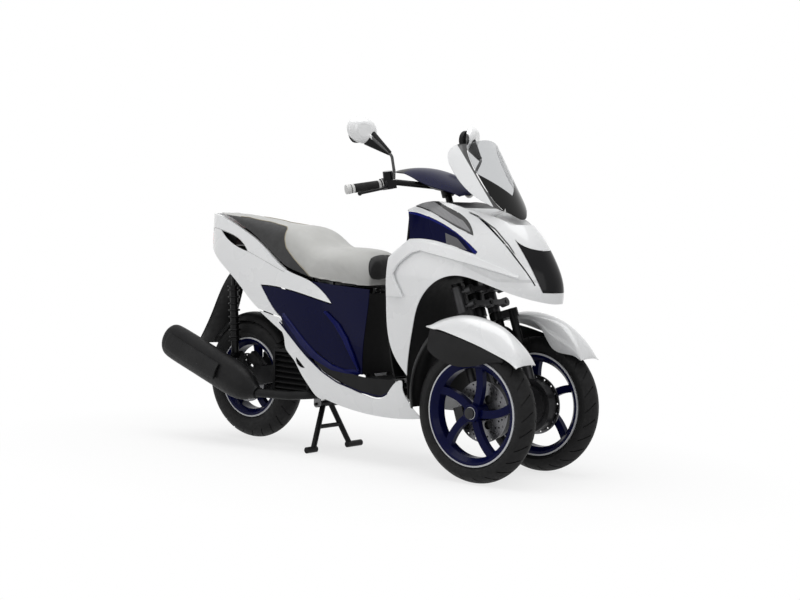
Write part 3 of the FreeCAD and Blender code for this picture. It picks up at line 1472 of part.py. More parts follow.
SEAT_SHARES = [
    # place along, top, bottom edge and half width
    (0.050, 0.634, 0.547, 0.232),
    (0.034, 0.647, 0.547, 0.266),
    (0.008, 0.657, 0.548, 0.292),
    (-0.043, 0.664, 0.553, 0.324),
    (-0.099, 0.666, 0.559, 0.345),
    (-0.147, 0.669, 0.565, 0.357),
    (-0.183, 0.688, 0.572, 0.362),
    (-0.215, 0.711, 0.581, 0.362),
    (-0.246, 0.726, 0.590, 0.360),
    (-0.276, 0.733, 0.603, 0.353),
    (-0.321, 0.736, 0.631, 0.332),
    (-0.359, 0.739, 0.655, 0.316),
    (-0.397, 0.743, 0.678, 0.298),
    (-0.443, 0.751, 0.704, 0.274),
    (-0.496, 0.758, 0.727, 0.245),
    (-0.542, 0.765, 0.746, 0.212),
    (-0.588, 0.769, 0.759, 0.177),
    (-0.622, 0.772, 0.767, 0.142),
    (-0.640, 0.775, 0.772, 0.092),
]
TUB_TOP_SHARE = 0.537
TUB_FRONT_SHARE = -0.047


def seat_section(x_share, half, low, high):
    """The outline of the cushion across the vehicle at one place."""
    x = along(x_share)
    rise = high - low
    rows = ((1.00, 0.00), (1.01, 0.30), (0.95, 0.66), (0.72, 0.91), (0.38, 0.985), (0, 1.00))
    right = [Vector(x, -half * wide, low + rise * tall) for wide, tall in rows]
    left = [Vector(x, half * wide, low + rise * tall) for wide, tall in reversed(rows[:-1])]
    crown = spline(right + left)
    return Part.Wire([crown, Part.LineSegment(left[-1], right[0]).toShape()])


def make_cushion():
    """The stepped two-person cushion."""
    rise = float(S.seat_height) / up(0.6642)
    sections = []
    for x_share, top, bottom, half in SEAT_SHARES:
        sections.append(seat_section(x_share, across(half), up(bottom), up(top) * rise))
    return keep(solid("seat_cushion", Part.makeLoft(sections, True, False)))


def make_seat_pan():
    """The shell under the cushion with its ribs, its hinge knuckle and the hinge pin."""
    wall = float(S.seat_pan_wall)
    drop = float(S.seat_gap)
    sections = []
    for x_share, top, bottom, half in SEAT_SHARES[:-3]:
        x = along(x_share)
        inset = across(half) * 0.72
        high = up(bottom) + wall
        corners = [Vector(x, -inset, high), Vector(x, inset, high),
                   Vector(x, inset * 0.97, high - wall * 2),
                   Vector(x, -inset * 0.97, high - wall * 2)]
        sections.append(Part.makePolygon(corners + corners[:1]))
    cushion = NODES["seat_cushion"].Shape
    lowered = cushion.translated(Vector(0, 0, -drop))
    deck = Part.makeLoft(sections, True, False).cut(lowered).cut(cushion)
    deck = solid("seat_pan_deck", max(deck.Solids, key=lambda item: item.Volume))
    reach = S.hinge_pin_diameter * 5
    pin = plate_through("seat_hinge_pin", (HINGE_X, HINGE_Z), S.hinge_pin_diameter,
                        -reach * 1.4, reach * 1.4)
    knuckle = plate_through("seat_hinge_knuckle", (HINGE_X, HINGE_Z),
                            S.hinge_pin_diameter * 2, -reach, reach)
    low_x = HINGE_X - float(S.hinge_pin_diameter) * 3
    neck = block("seat_hinge_neck", (low_x, -reach, HINGE_Z),
                 (S.hinge_pin_diameter * 3, reach * 2, up(0.012)))
    ribs = []
    for number, share in enumerate((-0.10, -0.32)):
        x_share, top, bottom, half = min(SEAT_SHARES, key=lambda row: abs(row[0] - share))
        foot = up(TUB_TOP_SHARE) + float(S.seat_gap)
        ribs.append(rubber(f"seat_buffer_{number}", along(x_share), foot,
                           up(bottom) - drop - wall * 0.5))
    return keep(fused("seat_pan", deck, pin, knuckle, neck, *ribs))


def rubber(name, x, foot, head):
    """A pair of rubber buffers under the pan."""
    y = S.tub_width / 2 - S.tub_wall * 0.5
    pair = [drum(f"{name}_{side}", (x, y * side, foot), S.hinge_pin_diameter * 1.2,
                 head - foot) for side in (-1, 1)]
    return group(name, *pair)


def rounded_plan(front, rear, half, z, corner):
    """A level rounded rectangle."""
    box = Part.Face(Part.makePolygon([
        Vector(front - corner, -half + corner, z), Vector(front - corner, half - corner, z),
        Vector(rear + corner, half - corner, z), Vector(rear + corner, -half + corner, z),
        Vector(front - corner, -half + corner, z)]))
    return box.makeOffset2D(corner).OuterWire


def make_tub():
    """The open storage tub under the seat, with a flange round its mouth."""
    wall = float(S.tub_wall)
    top = up(TUB_TOP_SHARE)
    low = top - float(S.tub_depth)
    front = along(TUB_FRONT_SHARE)
    rear = front - float(S.tub_length)
    half = float(S.tub_width) / 2
    corner = half * 0.35
    outer = Part.makeLoft([rounded_plan(front - half * 0.15, rear + half * 0.75, half * 0.82,
                                        low, corner),
                           rounded_plan(front - wall * 3, rear + wall * 3, half - wall * 3,
                                        top, corner)], True, False)
    inner = Part.makeLoft([rounded_plan(front - half * 0.15 - wall, rear + half * 0.75 + wall,
                                        half * 0.82 - wall, low + wall, corner - wall),
                           rounded_plan(front - wall * 4, rear + wall * 4, half - wall * 4,
                                        top, corner - wall)], True, False)
    flange = Part.Face(rounded_plan(front, rear, half, top, corner)).extrude(Vector(0, 0, -wall))
    mouth = Part.Face(rounded_plan(front - wall * 4, rear + wall * 4, half - wall * 4, top,
                                   corner - wall)).extrude(Vector(0, 0, -wall))
    shape = outer.fuse(flange).cut(inner).cut(mouth)
    return keep(solid("storage_tub", shape.removeSplitter()))


# Engine, drive and rear suspension

ENGINE_REAR = along(-0.294)
ENGINE_LEFT = S.rear_tyre_width / 2 + S.moving_clearance
LOWER_EYE_X = along(-0.521)
UPPER_EYE_X = along(-0.534)


def lobe(name, depth, low_y, *circles):
    """A flat casting whose outline wraps two circles, each given as x, z and radius."""
    (x1, z1, r1), (x2, z2, r2) = circles
    span = math.hypot(x2 - x1, z2 - z1)
    lean = math.atan2(z2 - z1, x2 - x1)
    swing = math.acos((r1 - r2) / span)
    corners = []
    for x, z, r, angle in ((x1, z1, r1, lean + swing), (x1, z1, r1, lean - swing),
                           (x2, z2, r2, lean - swing), (x2, z2, r2, lean + swing)):
        corners.append(Vector(x + r * math.cos(angle), low_y, z + r * math.sin(angle)))
    back = Vector(x1 - r1 * math.cos(lean), low_y, z1 - r1 * math.sin(lean))
    front = Vector(x2 + r2 * math.cos(lean), low_y, z2 + r2 * math.sin(lean))
    outline = Part.Wire([
        Part.Arc(corners[0], back, corners[1]).toShape(),
        Part.LineSegment(corners[1], corners[2]).toShape(),
        Part.Arc(corners[2], front, corners[3]).toShape(),
        Part.LineSegment(corners[3], corners[0]).toShape(),
    ])
    return solid(name, Part.Face(outline).extrude(Vector(0, depth, 0)))


def make_engine():
    """The engine as one block at its real place, with the lugs of the centre stand."""
    left = ENGINE_LEFT
    crankcase = block("engine_block", (ENGINE_REAR, left - S.engine_width, S.engine_clearance),
                      (S.engine_length, S.engine_width, S.engine_height))
    lugs = []
    bores = []
    lug = S.stand_tube_diameter * 1.1
    for side, sign in (("right", -1), ("left", 1)):
        y = S.stand_spread * 0.235 * sign - lug * 0.25
        z = S.stand_pivot_height
        lugs.append(drum(f"engine_{side}_stand_lug", (STAND_X, y, z), lug, lug / 2, ALONG_Y))
        lugs.append(block(f"engine_{side}_stand_web", (STAND_X - float(lug) / 2, y, z),
                          (lug, lug / 2, S.engine_clearance - z + lug * 0.2)))
    bores.append(drum("engine_stand_bore", (STAND_X, -S.stand_spread / 2, S.stand_pivot_height),
                      S.stand_tube_diameter * 0.5 + S.pin_clearance * 2, S.stand_spread,
                      ALONG_Y))
    return keep(cut("engine", fused("engine_solid", crankcase, *lugs), bores[0]))


STAND_X = along(-0.191)


def make_swing_unit():
    """The belt case on the left, its rear hub with the axle, and the shock's lower lug."""
    low = float(ENGINE_LEFT) + float(S.seat_gap)
    depth = float(S.case_thickness)
    axle = (float(rear_axle_x), float(rear_axle_z))
    crank = (along(-0.205), up(0.249))
    case = lobe("belt_case", depth * 0.75, low, (*axle, depth * 1.2), (*crank, depth * 1.27))
    cover = lobe("belt_cover", depth * 0.25, low + depth * 0.75,
                 (*axle, depth * 1.02), (*crank, depth * 1.1))
    hub = plate_through("drive_hub", (rear_axle_x, rear_axle_z), S.hub_diameter * 1.35,
                        S.hub_reach + S.moving_clearance, low + depth / 2)
    spindle = plate_through("rear_axle", (rear_axle_x, rear_axle_z), S.rear_axle_diameter,
                            ARM_FACE - S.arm_thickness - S.rim_wall * 1.4, low + depth / 2)
    nut = plate_through("rear_axle_nut", (rear_axle_x, rear_axle_z), S.rear_axle_diameter * 1.6,
                        ARM_FACE - S.arm_thickness - S.rim_wall - S.seat_gap,
                        ARM_FACE - S.arm_thickness - S.seat_gap)
    box_low = along(-0.427)
    breather = block("air_box", (box_low, low + depth * 0.05, axle[1] + depth),
                     (along(-0.305) - box_low, depth * 0.8, up(0.356) - axle[1] - depth))
    y = S.shock_spread / 2
    eye = S.shock_spring_diameter / 4
    lugs = []
    for side, sign in (("inner", -1), ("outer", 1)):
        foot = y + (eye + S.seat_gap) * sign
        foot = foot if sign > 0 else foot - eye / 2
        lugs.append(block(f"left_shock_lug_{side}", (LOWER_EYE_X - float(eye), foot, up(0.262)),
                          (eye * 2, eye / 2, up(0.291) - up(0.262))))
    pin = plate_through("left_shock_pin", (LOWER_EYE_X, LOWER_EYE_Z), EYE_BORE,
                        y - eye * 1.6, y + eye * 1.6)
    return keep(fused("drive_case", case, cover, hub, spindle, nut, breather, *lugs, pin))


ARM_FACE = -(S.rear_tyre_width / 2 + S.moving_clearance)
LOWER_EYE_Z = up(0.290)
UPPER_EYE_Z = up(0.568)
EYE_BORE = S.hinge_pin_diameter * 1.5


def make_swing_arm():
    """The right swing arm plate, bored for the axle, with the lower shock pin."""
    thick = float(S.arm_thickness)
    low = float(ARM_FACE) - thick
    axle = (float(rear_axle_x), float(rear_axle_z))
    wide = float(S.hub_diameter)
    nose = (ENGINE_REAR - wide * 0.5 - float(S.seat_gap), up(0.247))
    plate = lobe("swing_arm_plate", thick, low, (*axle, wide * 0.62), (*nose, wide * 0.5))
    lug = lobe("swing_arm_lug", thick, low, (*axle, wide * 0.4),
               (LOWER_EYE_X, float(LOWER_EYE_Z), wide * 0.24))
    y = -S.shock_spread / 2
    eye = S.shock_spring_diameter / 4
    pin = plate_through("right_shock_pin", (LOWER_EYE_X, LOWER_EYE_Z), EYE_BORE,
                        y - eye * 1.3, ARM_FACE - S.arm_thickness / 2)
    bore = plate_through("swing_arm_bore", (rear_axle_x, rear_axle_z),
                         S.rear_axle_diameter + S.pin_clearance * 2, ARM_FACE * 2, 0)
    arm = cut("swing_arm_casting", fused("swing_arm_solid", plate, lug, pin), bore)
    return keep(group("swing_arm", arm, make_rear_caliper()))


def make_rear_caliper():
    """The rear brake caliper, which straddles the disc above the swing arm."""
    radius = S.rear_disc_diameter / 2
    size = radius * 0.42
    body = block("rear_caliper_body", (-size, ARM_FACE + S.seat_gap, radius * 0.68),
                 (size * 2, S.rear_disc_offset * 0.56, radius * 0.40))
    slot = drum("rear_caliper_slot", (0, -S.rear_disc_offset - S.disc_thickness * 0.9, 0),
                radius * 2.04, S.disc_thickness * 1.8, ALONG_Y)
    caliper = cut("rear_caliper", body, slot)
    caliper.Placement = Placement(Vector(float(rear_axle_x), 0, float(rear_axle_z)),
                                  Rotation(Vector(0, 1, 0), 38))
    return caliper


def make_shock(side, sign):
    """One rear shock: eyes, damper body, rod and spring."""
    y = S.shock_spread / 2 * sign
    low = Vector(LOWER_EYE_X, 0, float(LOWER_EYE_Z))
    high = Vector(UPPER_EYE_X, 0, float(UPPER_EYE_Z))
    lean = Rotation(Vector(0, 0, 1), high - low)
    coil = S.shock_spring_diameter
    eye = coil / 4
    length = (high - low).Length
    parts = [
        drum(f"{side}_shock_damper", (0, 0, eye * 0.8), coil * 0.62, length * 0.48),
        drum(f"{side}_shock_rod", (0, 0, length * 0.4), coil * 0.36, length * 0.56),
        drum(f"{side}_shock_seat", (0, 0, length * 0.17), coil, coil * 0.1),
        drum(f"{side}_shock_cap", (0, 0, length * 0.83), coil, coil * 0.12),
        drum(f"{side}_shock_low_eye", (0, -eye, 0), eye * 2.2, eye * 2, ALONG_Y),
        drum(f"{side}_shock_high_eye", (0, -eye * 0.6, length), eye * 2.2, eye * 1.2,
             ALONG_Y),
    ]
    turns = 8
    spring_foot = length * 0.17 + coil * 0.1
    pitch = (length * 0.66 - coil * 0.1) / turns
    for number in range(turns):
        ring = named("Part::Torus", f"{side}_shock_coil_{number}")
        bind(ring, Radius1=coil * 0.41, Radius2=coil * 0.085)
        place(ring, 0, 0, spring_foot + pitch * (number + 0.5))
        parts.append(ring)
    core = drum(f"{side}_shock_core", (0, 0, spring_foot), coil * 0.68, length * 0.66)
    bores = [drum(f"{side}_shock_bore_{number}", (0, -coil, length * number),
                  EYE_BORE + S.pin_clearance * 2, coil * 2, ALONG_Y) for number in (0, 1)]
    shock = cut(f"{side}_shock", fused(f"{side}_shock_solid", *parts, core),
                group(f"{side}_shock_bores", *bores))
    shock.Placement = Placement(Vector(LOWER_EYE_X, float(y), float(LOWER_EYE_Z)), lean)
    return shock


def oval(centre, heading, half_wide, half_tall):
    """An oval wire square to a heading, with its width across the vehicle."""
    heading = Vector(heading).normalize()
    tall = heading.cross(Vector(0, 1, 0)).normalize()
    across_way = Vector(0, 1, 0)
    points = []
    for step in range(12):
        angle = 2 * math.pi * step / 12
        points.append(centre + across_way * (half_wide * math.cos(angle))
                      + tall * (half_tall * math.sin(angle)))
    return Part.Wire([spline(points, True)])


def make_exhaust():
    """The oval silencer, and the bent pipe that leads to it."""
    wide = float(S.muffler_width) / 2
    tall = float(S.muffler_height) / 2
    front = Vector(along(-0.347), across(-0.454), up(0.183))
    rear = Vector(along(-0.750), across(-0.454), up(0.334))
    heading = rear - front
    rows = ((0, 0.42, 0.34), (0.04, 0.55, 0.48), (0.09, 0.76, 0.70), (0.15, 0.91, 0.88),
            (0.22, 0.98, 0.97), (0.30, 1, 1), (0.45, 1, 1), (0.60, 1, 1), (0.75, 1, 1),
            (0.88, 1, 1), (0.94, 0.985, 0.98), (0.98, 0.93, 0.91), (1, 0.80, 0.76))
    sections = [oval(front + heading * share, heading, wide * width, tall * height)
                for share, width, height in rows]
    can = Part.makeLoft(sections, True, False)
    unit = Vector(heading).normalize()
    outlet = float(S.pipe_diameter) * 0.6
    tip = Part.makeCylinder(outlet, outlet * 1.6, rear - unit * outlet, unit)
    hollow = Part.makeCylinder(outlet * 0.86, outlet * 1.6, rear - unit * outlet * 0.7, unit)
    silencer = solid("silencer", can.fuse(tip).cut(hollow))
    pipe = [
        (along(-0.156), across(-0.208), up(0.191)),
        (along(-0.156), across(-0.326), up(0.191)),
        (along(-0.229), across(-0.399), up(0.183)),
        (front.x - unit.x * float(S.seat_gap), front.y, front.z - unit.z * float(S.seat_gap)),
    ]
    header = solid("header_pipe", bent_tube(pipe, S.pipe_diameter,
                                            float(S.pipe_diameter) * 0.8))
    return keep(group("exhaust", silencer, header))


def make_radiator_cover():
    """The louvred cover on the right of the engine."""
    low_x = along(-0.333)
    high_x = along(-0.180)
    low_z = up(0.183)
    high_z = up(0.328)
    face_y = ENGINE_LEFT - S.engine_width - S.seat_gap
    depth = S.muffler_width * 0.32
    wall = S.liner_wall
    long = high_x - low_x
    tall = high_z - low_z
    frame_box = block("radiator_cover_box", (low_x, face_y - depth, low_z), (long, depth, tall))
    window = block("radiator_cover_window", (low_x + wall * 3, face_y - depth * 1.5, low_z + wall * 3),
                   (long - wall * 6, depth * 1.2, tall - wall * 6))
    opened = cut("radiator_cover_frame", frame_box, window)
    louvres = []
    count = 7
    pitch = (tall - wall * 6) / count
    for number in range(count):
        z = low_z + wall * 3 + pitch * (number + 0.35)
        slat = block(f"radiator_louvre_{number}", (0, 0, 0), (long - wall * 5, depth * 0.7, wall * 0.7))
        slat.Placement = Placement(Vector(0, 0, 0), Rotation(Vector(1, 0, 0), 32))
        place(slat, low_x + wall * 2.5, face_y - depth * 0.95, z)
        louvres.append(slat)
    return keep(fused("radiator_cover", opened, *louvres))


def make_rear_fender():
    """The plate carrier behind the rear wheel, a thin guard that hangs from the tail."""
    rows = (
        (-0.561, 0.594, 0.082, -0.561, 0.596),
        (-0.600, 0.550, 0.126, -0.597, 0.545),
        (-0.631, 0.499, 0.155, -0.620, 0.494),
        (-0.661, 0.436, 0.174, -0.646, 0.430),
        (-0.692, 0.370, 0.198, -0.675, 0.365),
        (-0.721, 0.313, 0.203, -0.707, 0.309),
    )
    grid = []
    for x, z, half, edge_x, edge_z in rows:
        row = []
        for share in (-1, -0.85, -0.4, 0.4, 0.85, 1):
            bend = max(abs(share) - 0.6, 0) / 0.4
            row.append(Vector(along(x + (edge_x - x) * bend), across(half) * share,
                              up(z + (edge_z - z) * bend)))
        grid.append(row)
    return keep(solid("rear_fender", panel(grid, S.panel_wall)))


def make_rear_hugger():
    """The short guard close over the rear tyre."""
    tyre = float(S.rear_tyre_diameter) / 2
    axle = Vector(float(rear_axle_x), 0, float(rear_axle_z))
    sections = []
    for degrees in (52, 78, 104, 130, 156):
        sections.append(arched_section(axle, math.radians(degrees - 12),
                                       tyre * 1.075, float(S.panel_wall),
                                       float(S.rear_tyre_width) * 0.53,
                                       float(S.rear_tyre_width) * 0.3))
    guard = Part.makeLoft(sections, True, False)
    wall = float(S.panel_wall)
    face = float(ENGINE_LEFT) + float(S.seat_gap) + float(S.case_thickness) * 0.05
    start = float(S.rear_tyre_width) * 0.53 - wall
    foot = Vector(along(-0.372), start, up(0.334))
    bracket = Part.makeBox(wall * 8, face - float(S.seat_gap) - start, wall * 6, foot)
    return keep(solid("rear_hugger", guard.fuse(bracket)))


# Handlebar and controls


def bar_ends():
    """The middle line of the right half of the bar, from its outer end inwards."""
    half = float(S.bar_width) / 2
    drop = float(S.bar_height)
    return [
        (along(0.136), -half, drop - up(0.009)),
        (along(0.200), -half * 0.55, drop + up(0.014)),
        (along(0.253), -half * 0.18, drop + up(0.005)),
    ]


def hand_frame():
    """The right hand's frame: Z runs inwards along the bar, X forwards and Y down."""
    outer, inner = (Vector(*point) for point in bar_ends()[:2])
    heading = (inner - outer).normalize()
    return Placement(outer, Rotation(Vector(1, 0, 0), Vector(0, 0, -1), heading, "ZXY"))


def make_handlebar():
    """The bar, its clamp and the steering stem in the head pipe."""
    right = bar_ends()
    left = [(x, -y, z) for x, y, z in reversed(right)]
    tube = solid("handlebar_tube", bent_tube(right + left, S.bar_diameter,
                                             float(S.bar_diameter) * 2))
    top = (float(S.bar_height) - float(front_axle_z)) / math.cos(caster)
    foot = PIPE_FOOT - S.crown_thickness
    stem = drum("handlebar_stem", (0, 0, foot), S.head_stem_diameter, top - foot)
    clamp = drum("handlebar_clamp", (0, 0, top - float(S.bar_diameter) * 1.4),
                 S.bar_diameter * 2.1, S.bar_diameter * 2.4)
    crank = drum("handlebar_crank", (0, 0, foot - S.crown_thickness * 0.2),
                 S.head_stem_diameter * 1.7, S.crown_thickness * 0.6)
    column = fused("handlebar_column", stem, clamp, crank)
    column.Placement = steering_frame(0)
    return keep(fused("handlebar", tube, column))


def make_grips():
    """The two grips with their bar-end weights."""
    bore = S.bar_diameter + S.seat_gap * 2
    sleeve = drum("right_grip_sleeve", (0, 0, S.seat_gap), S.grip_diameter, S.grip_length)
    collar = drum("right_grip_collar", (0, 0, S.grip_length), S.grip_diameter * 1.28,
                  S.bar_end_length * 0.3)
    hole = drum("right_grip_bore", (0, 0, 0), bore, S.grip_length * 1.5)
    weight = drum("right_bar_end", (0, 0, -S.bar_end_length - S.seat_gap),
                  S.grip_diameter * 1.05, S.bar_end_length)
    grip = cut("right_grip_body", fused("right_grip_solid", sleeve, collar), hole)
    right = group("right_grip", grip, weight)
    right.Placement = hand_frame()
    return keep(group("grips", right, mirrored("left_grip", right)))


def make_hand_controls():
    """Switch housings, brake reservoirs, lever brackets and the ball-ended levers."""
    start = S.grip_length + S.bar_end_length * 0.5
    tall = S.grip_diameter * 1.35
    housing = drum("right_switch_housing", (0, 0, start), tall, S.grip_diameter * 1.1)
    bracket = block("right_lever_bracket", (0, -tall * 0.35, start),
                    (tall * 1.05, tall * 0.7, S.grip_diameter * 1.1))
    cup = drum("right_reservoir", (tall * 0.42, -tall * 0.2, start + S.grip_diameter * 0.5),
               tall * 0.8, tall * 0.85, ALONG_Y_BACK)
    bore = drum("right_housing_bore", (0, 0, 0), S.bar_diameter + S.seat_gap * 2,
                S.grip_length * 2)
    base = cut("right_control_base", fused("right_control_solid", housing, bracket, cup), bore)
    ball_z = float(S.bar_end_length)
    ahead = float(tall)
    thick = float(S.bar_diameter) * 0.42
    blade = bent_tube([(ahead * 0.85, 0, float(start) + thick), (ahead * 1.25, thick, float(start) * 0.8),
                       (ahead * 1.2, thick * 1.6, ball_z)], thick, thick * 4)
    ball = Part.makeSphere(thick * 0.85, Vector(ahead * 1.2, thick * 1.6, ball_z))
    lever = solid("right_lever", blade.fuse(ball))
    right = fused("right_hand_controls", base, lever)
    right.Placement = hand_frame()
    return keep(group("hand_controls", right, mirrored("left_hand_controls", right)))


BAR_COVER_SHARES = [
    # place along, crown height, half width, edge height, depth of the lower half
    (0.128, 0.915, 0.222, 0.904, 0.002),
    (0.180, 0.919, 0.271, 0.899, 0.017),
    (0.237, 0.909, 0.324, 0.880, 0.026),
    (0.290, 0.889, 0.338, 0.861, 0.014),
    (0.334, 0.867, 0.304, 0.848, 0.000),
    (0.368, 0.838, 0.222, 0.831, 0.000),
]
COVER_LOWER_WIDTH_SHARE = 0.86


def cover_grid(sense):
    """Points of the handlebar cover: its upper side for +1, its lower side for -1."""
    grid = []
    rows = BAR_COVER_SHARES if sense > 0 else BAR_COVER_SHARES[:-1]
    for x, crown, half, edge, depth in rows:
        row = []
        for share in (-1, -0.8, -0.4, 0, 0.4, 0.8, 1):
            lift = 1 - abs(share) ** 2.4
            if sense > 0:
                z = up(edge + (crown - edge) * lift)
                y = across(half) * share
            else:
                z = up(edge - depth * lift) - float(S.panel_wall)
                y = across(half) * share * COVER_LOWER_WIDTH_SHARE
            row.append(Vector(along(x), y, z))
        grid.append(row)
    return grid


def make_bar_cover():
    """The cover over the middle of the handlebar, in an upper and a lower half."""
    upper = panel(cover_grid(1), S.panel_wall)
    lower = panel([row[::-1] for row in cover_grid(-1)], S.panel_wall)
    right = bar_ends()
    left = [(x, -y, z) for x, y, z in reversed(right)]
    room = bent_tube(right + left, float(S.bar_diameter) + float(S.seat_gap) * 4,
                     float(S.bar_diameter) * 2)
    stem_room = steering_drum(float(S.bar_diameter) * 2.1 + float(S.seat_gap) * 4)
    keep(solid("bar_cover", upper.cut(room)))
    keep(solid("bar_cover_lower", lower.cut(room).cut(stem_room)))


MIRROR_RIM_SHARES = [
    # along, across and height of the glass side's outline
    (0.136, -0.889, 1.030), (0.142, -0.860, 1.052),
    (0.153, -0.778, 1.060), (0.165, -0.686, 1.050),
    (0.171, -0.638, 1.021), (0.166, -0.667, 0.991),
    (0.156, -0.754, 0.983), (0.142, -0.845, 0.996),
]


def make_mirrors():
    """The two mirrors: a bent stalk from the lever bracket, and a deep rounded shell."""
    rim = [Vector(along(x), across(y), up(z)) for x, y, z in MIRROR_RIM_SHARES]
    middle = Vector(0, 0, 0)
    for point in rim:
        middle += point * (1 / len(rim))
    facing = (rim[2] - rim[6]).cross(rim[4] - rim[0]).normalize()
    facing = facing if facing.x > 0 else -facing
    rim = [point - facing * (point - middle).dot(facing) for point in rim]
    depth = float(S.grip_diameter)
    sections = []
    for share, scale in ((0, 1), (0.25, 1.02), (0.7, 0.86), (1, 0.5)):
        ring = [middle + (point - middle) * scale + facing * (depth * share) for point in rim]
        sections.append(Part.Wire([spline(ring, True)]))
    shell = Part.makeLoft(sections, True, False)
    recess = [middle + (point - middle) * 0.93 for point in rim]
    pocket = Part.Face(Part.Wire([spline(recess, True)])).extrude(facing * float(S.panel_wall))
    shell = shell.cut(pocket)
    tall = float(S.grip_diameter) * 1.35
    start = float(S.grip_length) + float(S.bar_end_length) * 0.5
    foot = hand_frame().multVec(Vector(tall * 0.92, -tall * 0.35 - float(S.seat_gap) * 7,
                                       start + float(S.grip_diameter) * 0.92))
    stalk_points = [
        tuple(foot),
        (foot.x + tall * 0.08, foot.y - tall * 0.1, foot.z + tall * 0.7),
        (along(0.231), across(-0.633), up(0.947)),
        tuple(middle + facing * (depth * 0.55)),
    ]
    stalk = bent_tube(stalk_points, float(S.bar_diameter) * 0.5, float(S.bar_diameter) * 0.9)
    right = solid("right_mirror", shell.fuse(stalk))
    return keep(group("mirrors", right, mirrored("left_mirror", right)))


def make_caliper():
    """The right front caliper, which straddles the disc behind the axle carrier."""
    wheel = kingpin_y - wheel_y
    disc_y = wheel + S.front_disc_offset
    radius = S.front_disc_diameter / 2
    face = -S.fork_outset - S.slider_diameter / 2 - S.hub_cover_depth * 0.2 - S.seat_gap
    body = block("right_caliper_body", (S.slider_diameter * 0 - radius * 0.36, face - S.hub_reach * 0.55,
                                         radius * 0.70), (radius * 0.72, S.hub_reach * 0.55, radius * 0.36))
    slot = drum("right_caliper_slot", (0, disc_y - S.disc_thickness * 0.9, 0), radius * 2.03,
                S.disc_thickness * 1.8, ALONG_Y)
    caliper = cut("right_caliper", body, slot)
    base = steering_frame(-kingpin_y)
    turned = Placement(Vector(float(AXLE_LEAD), 0, float(AXLE_RISE)),
                       Rotation(Vector(0, 1, 0), -88))
    caliper.Placement = base.multiply(turned)
    return caliper


# Stands


def make_centre_stand():
    """The centre stand, down on its two feet."""
    tube = float(S.stand_tube_diameter)
    height = float(S.stand_pivot_height)
    half = float(S.stand_spread) / 2
    foot_x = STAND_X + height * 0.16
    pieces = [straight_tube([(STAND_X, -half * 0.36, height), (STAND_X, half * 0.36, height)],
                            tube)]
    for sign in (-1, 1):
        leg = [(STAND_X, half * 0.17 * sign, height), (foot_x, half * 0.92 * sign, tube / 2)]
        pieces.append(straight_tube(leg, tube * 0.9))
        reach = 1.25 if sign < 0 else 1.5
        foot = [(foot_x, half * 0.78 * sign, tube / 2), (foot_x, half * reach * sign, tube / 2)]
        pieces.append(straight_tube(foot, tube))
    brace = [(STAND_X + height * 0.08, -half * 0.58, height * 0.52),
             (STAND_X + height * 0.08, half * 0.58, height * 0.52)]
    pieces.append(straight_tube(brace, tube * 0.7))
    pin = straight_tube([(STAND_X, -half * 0.58, height), (STAND_X, half * 0.58, height)],
                        tube * 0.5)
    shape = pieces[0].multiFuse(pieces[1:] + [pin])
    return keep(solid("centre_stand", shape))


def make_side_stand():
    """The side stand, folded back under the left floor."""
    tube = float(S.stand_tube_diameter) * 0.8
    y = across(0.304)
    reach = float(S.side_stand_reach)
    hinge = Vector(SIDE_STAND_X, y, SIDE_STAND_Z)
    axis = SIDE_STAND_AXIS
    knuckle = Part.makeCylinder(tube * 0.8, tube, hinge - axis * (tube / 2), axis)
    leg = Part.makeCylinder(tube / 2, reach, hinge, Vector(-1, 0, 0))
    foot = Part.makeCylinder(tube * 0.9, tube * 0.4, hinge + Vector(-reach, 0, 0),
                             Vector(-1, 0, 0))
    return keep(solid("side_stand", knuckle.fuse(leg).fuse(foot)))


# The whole vehicle

make_engine()
make_swing_unit()
make_swing_arm()
keep(group("shocks", make_shock("right", -1), make_shock("left", 1)))
make_exhaust()
make_radiator_cover()
make_rear_fender()
make_rear_hugger()

keep(group("lean_linkage", *make_lean_linkage()))
leg = group("right_fork_leg", make_fork_leg(), make_caliper())
for right in (make_fork(), leg):
    keep(right)
    keep(mirrored(right.Label.replace("right", "left"), right))
for name, shape in (("fender", make_fender_top()), ("fender_lower", make_fender_lower())):
    right = keep(solid(f"right_{name}", shape))
    keep(mirrored(f"left_{name}", right))

keep(solid("windscreen", make_windscreen()))
keep(solid("screen_surround", make_surround()))
for name, shape in make_front_panels().items():
    keep(solid(name, shape))
for name, shape in make_rear_panels().items():
    keep(solid(name, shape))
make_frame()

make_cushion()
make_seat_pan()
make_tub()
make_handlebar()
make_grips()
make_hand_controls()
make_bar_cover()
make_mirrors()
make_centre_stand()
make_side_stand()

doc.recompute()
for item in doc.Objects:
    if "Invalid" in item.State or "Error" in item.State:
        raise RuntimeError(f"{item.Label} did not rebuild")
os.makedirs("parts", exist_ok=True)
for name, feature in NODES.items():
    shape = feature.Shape
    if shape.isNull() or not shape.isValid():
        raise RuntimeError(f"{name} is not a valid shape")
    shape.exportStep(os.path.join("parts", name + ".step"))
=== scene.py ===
import math

import bpy
from mathutils import Matrix, Vector


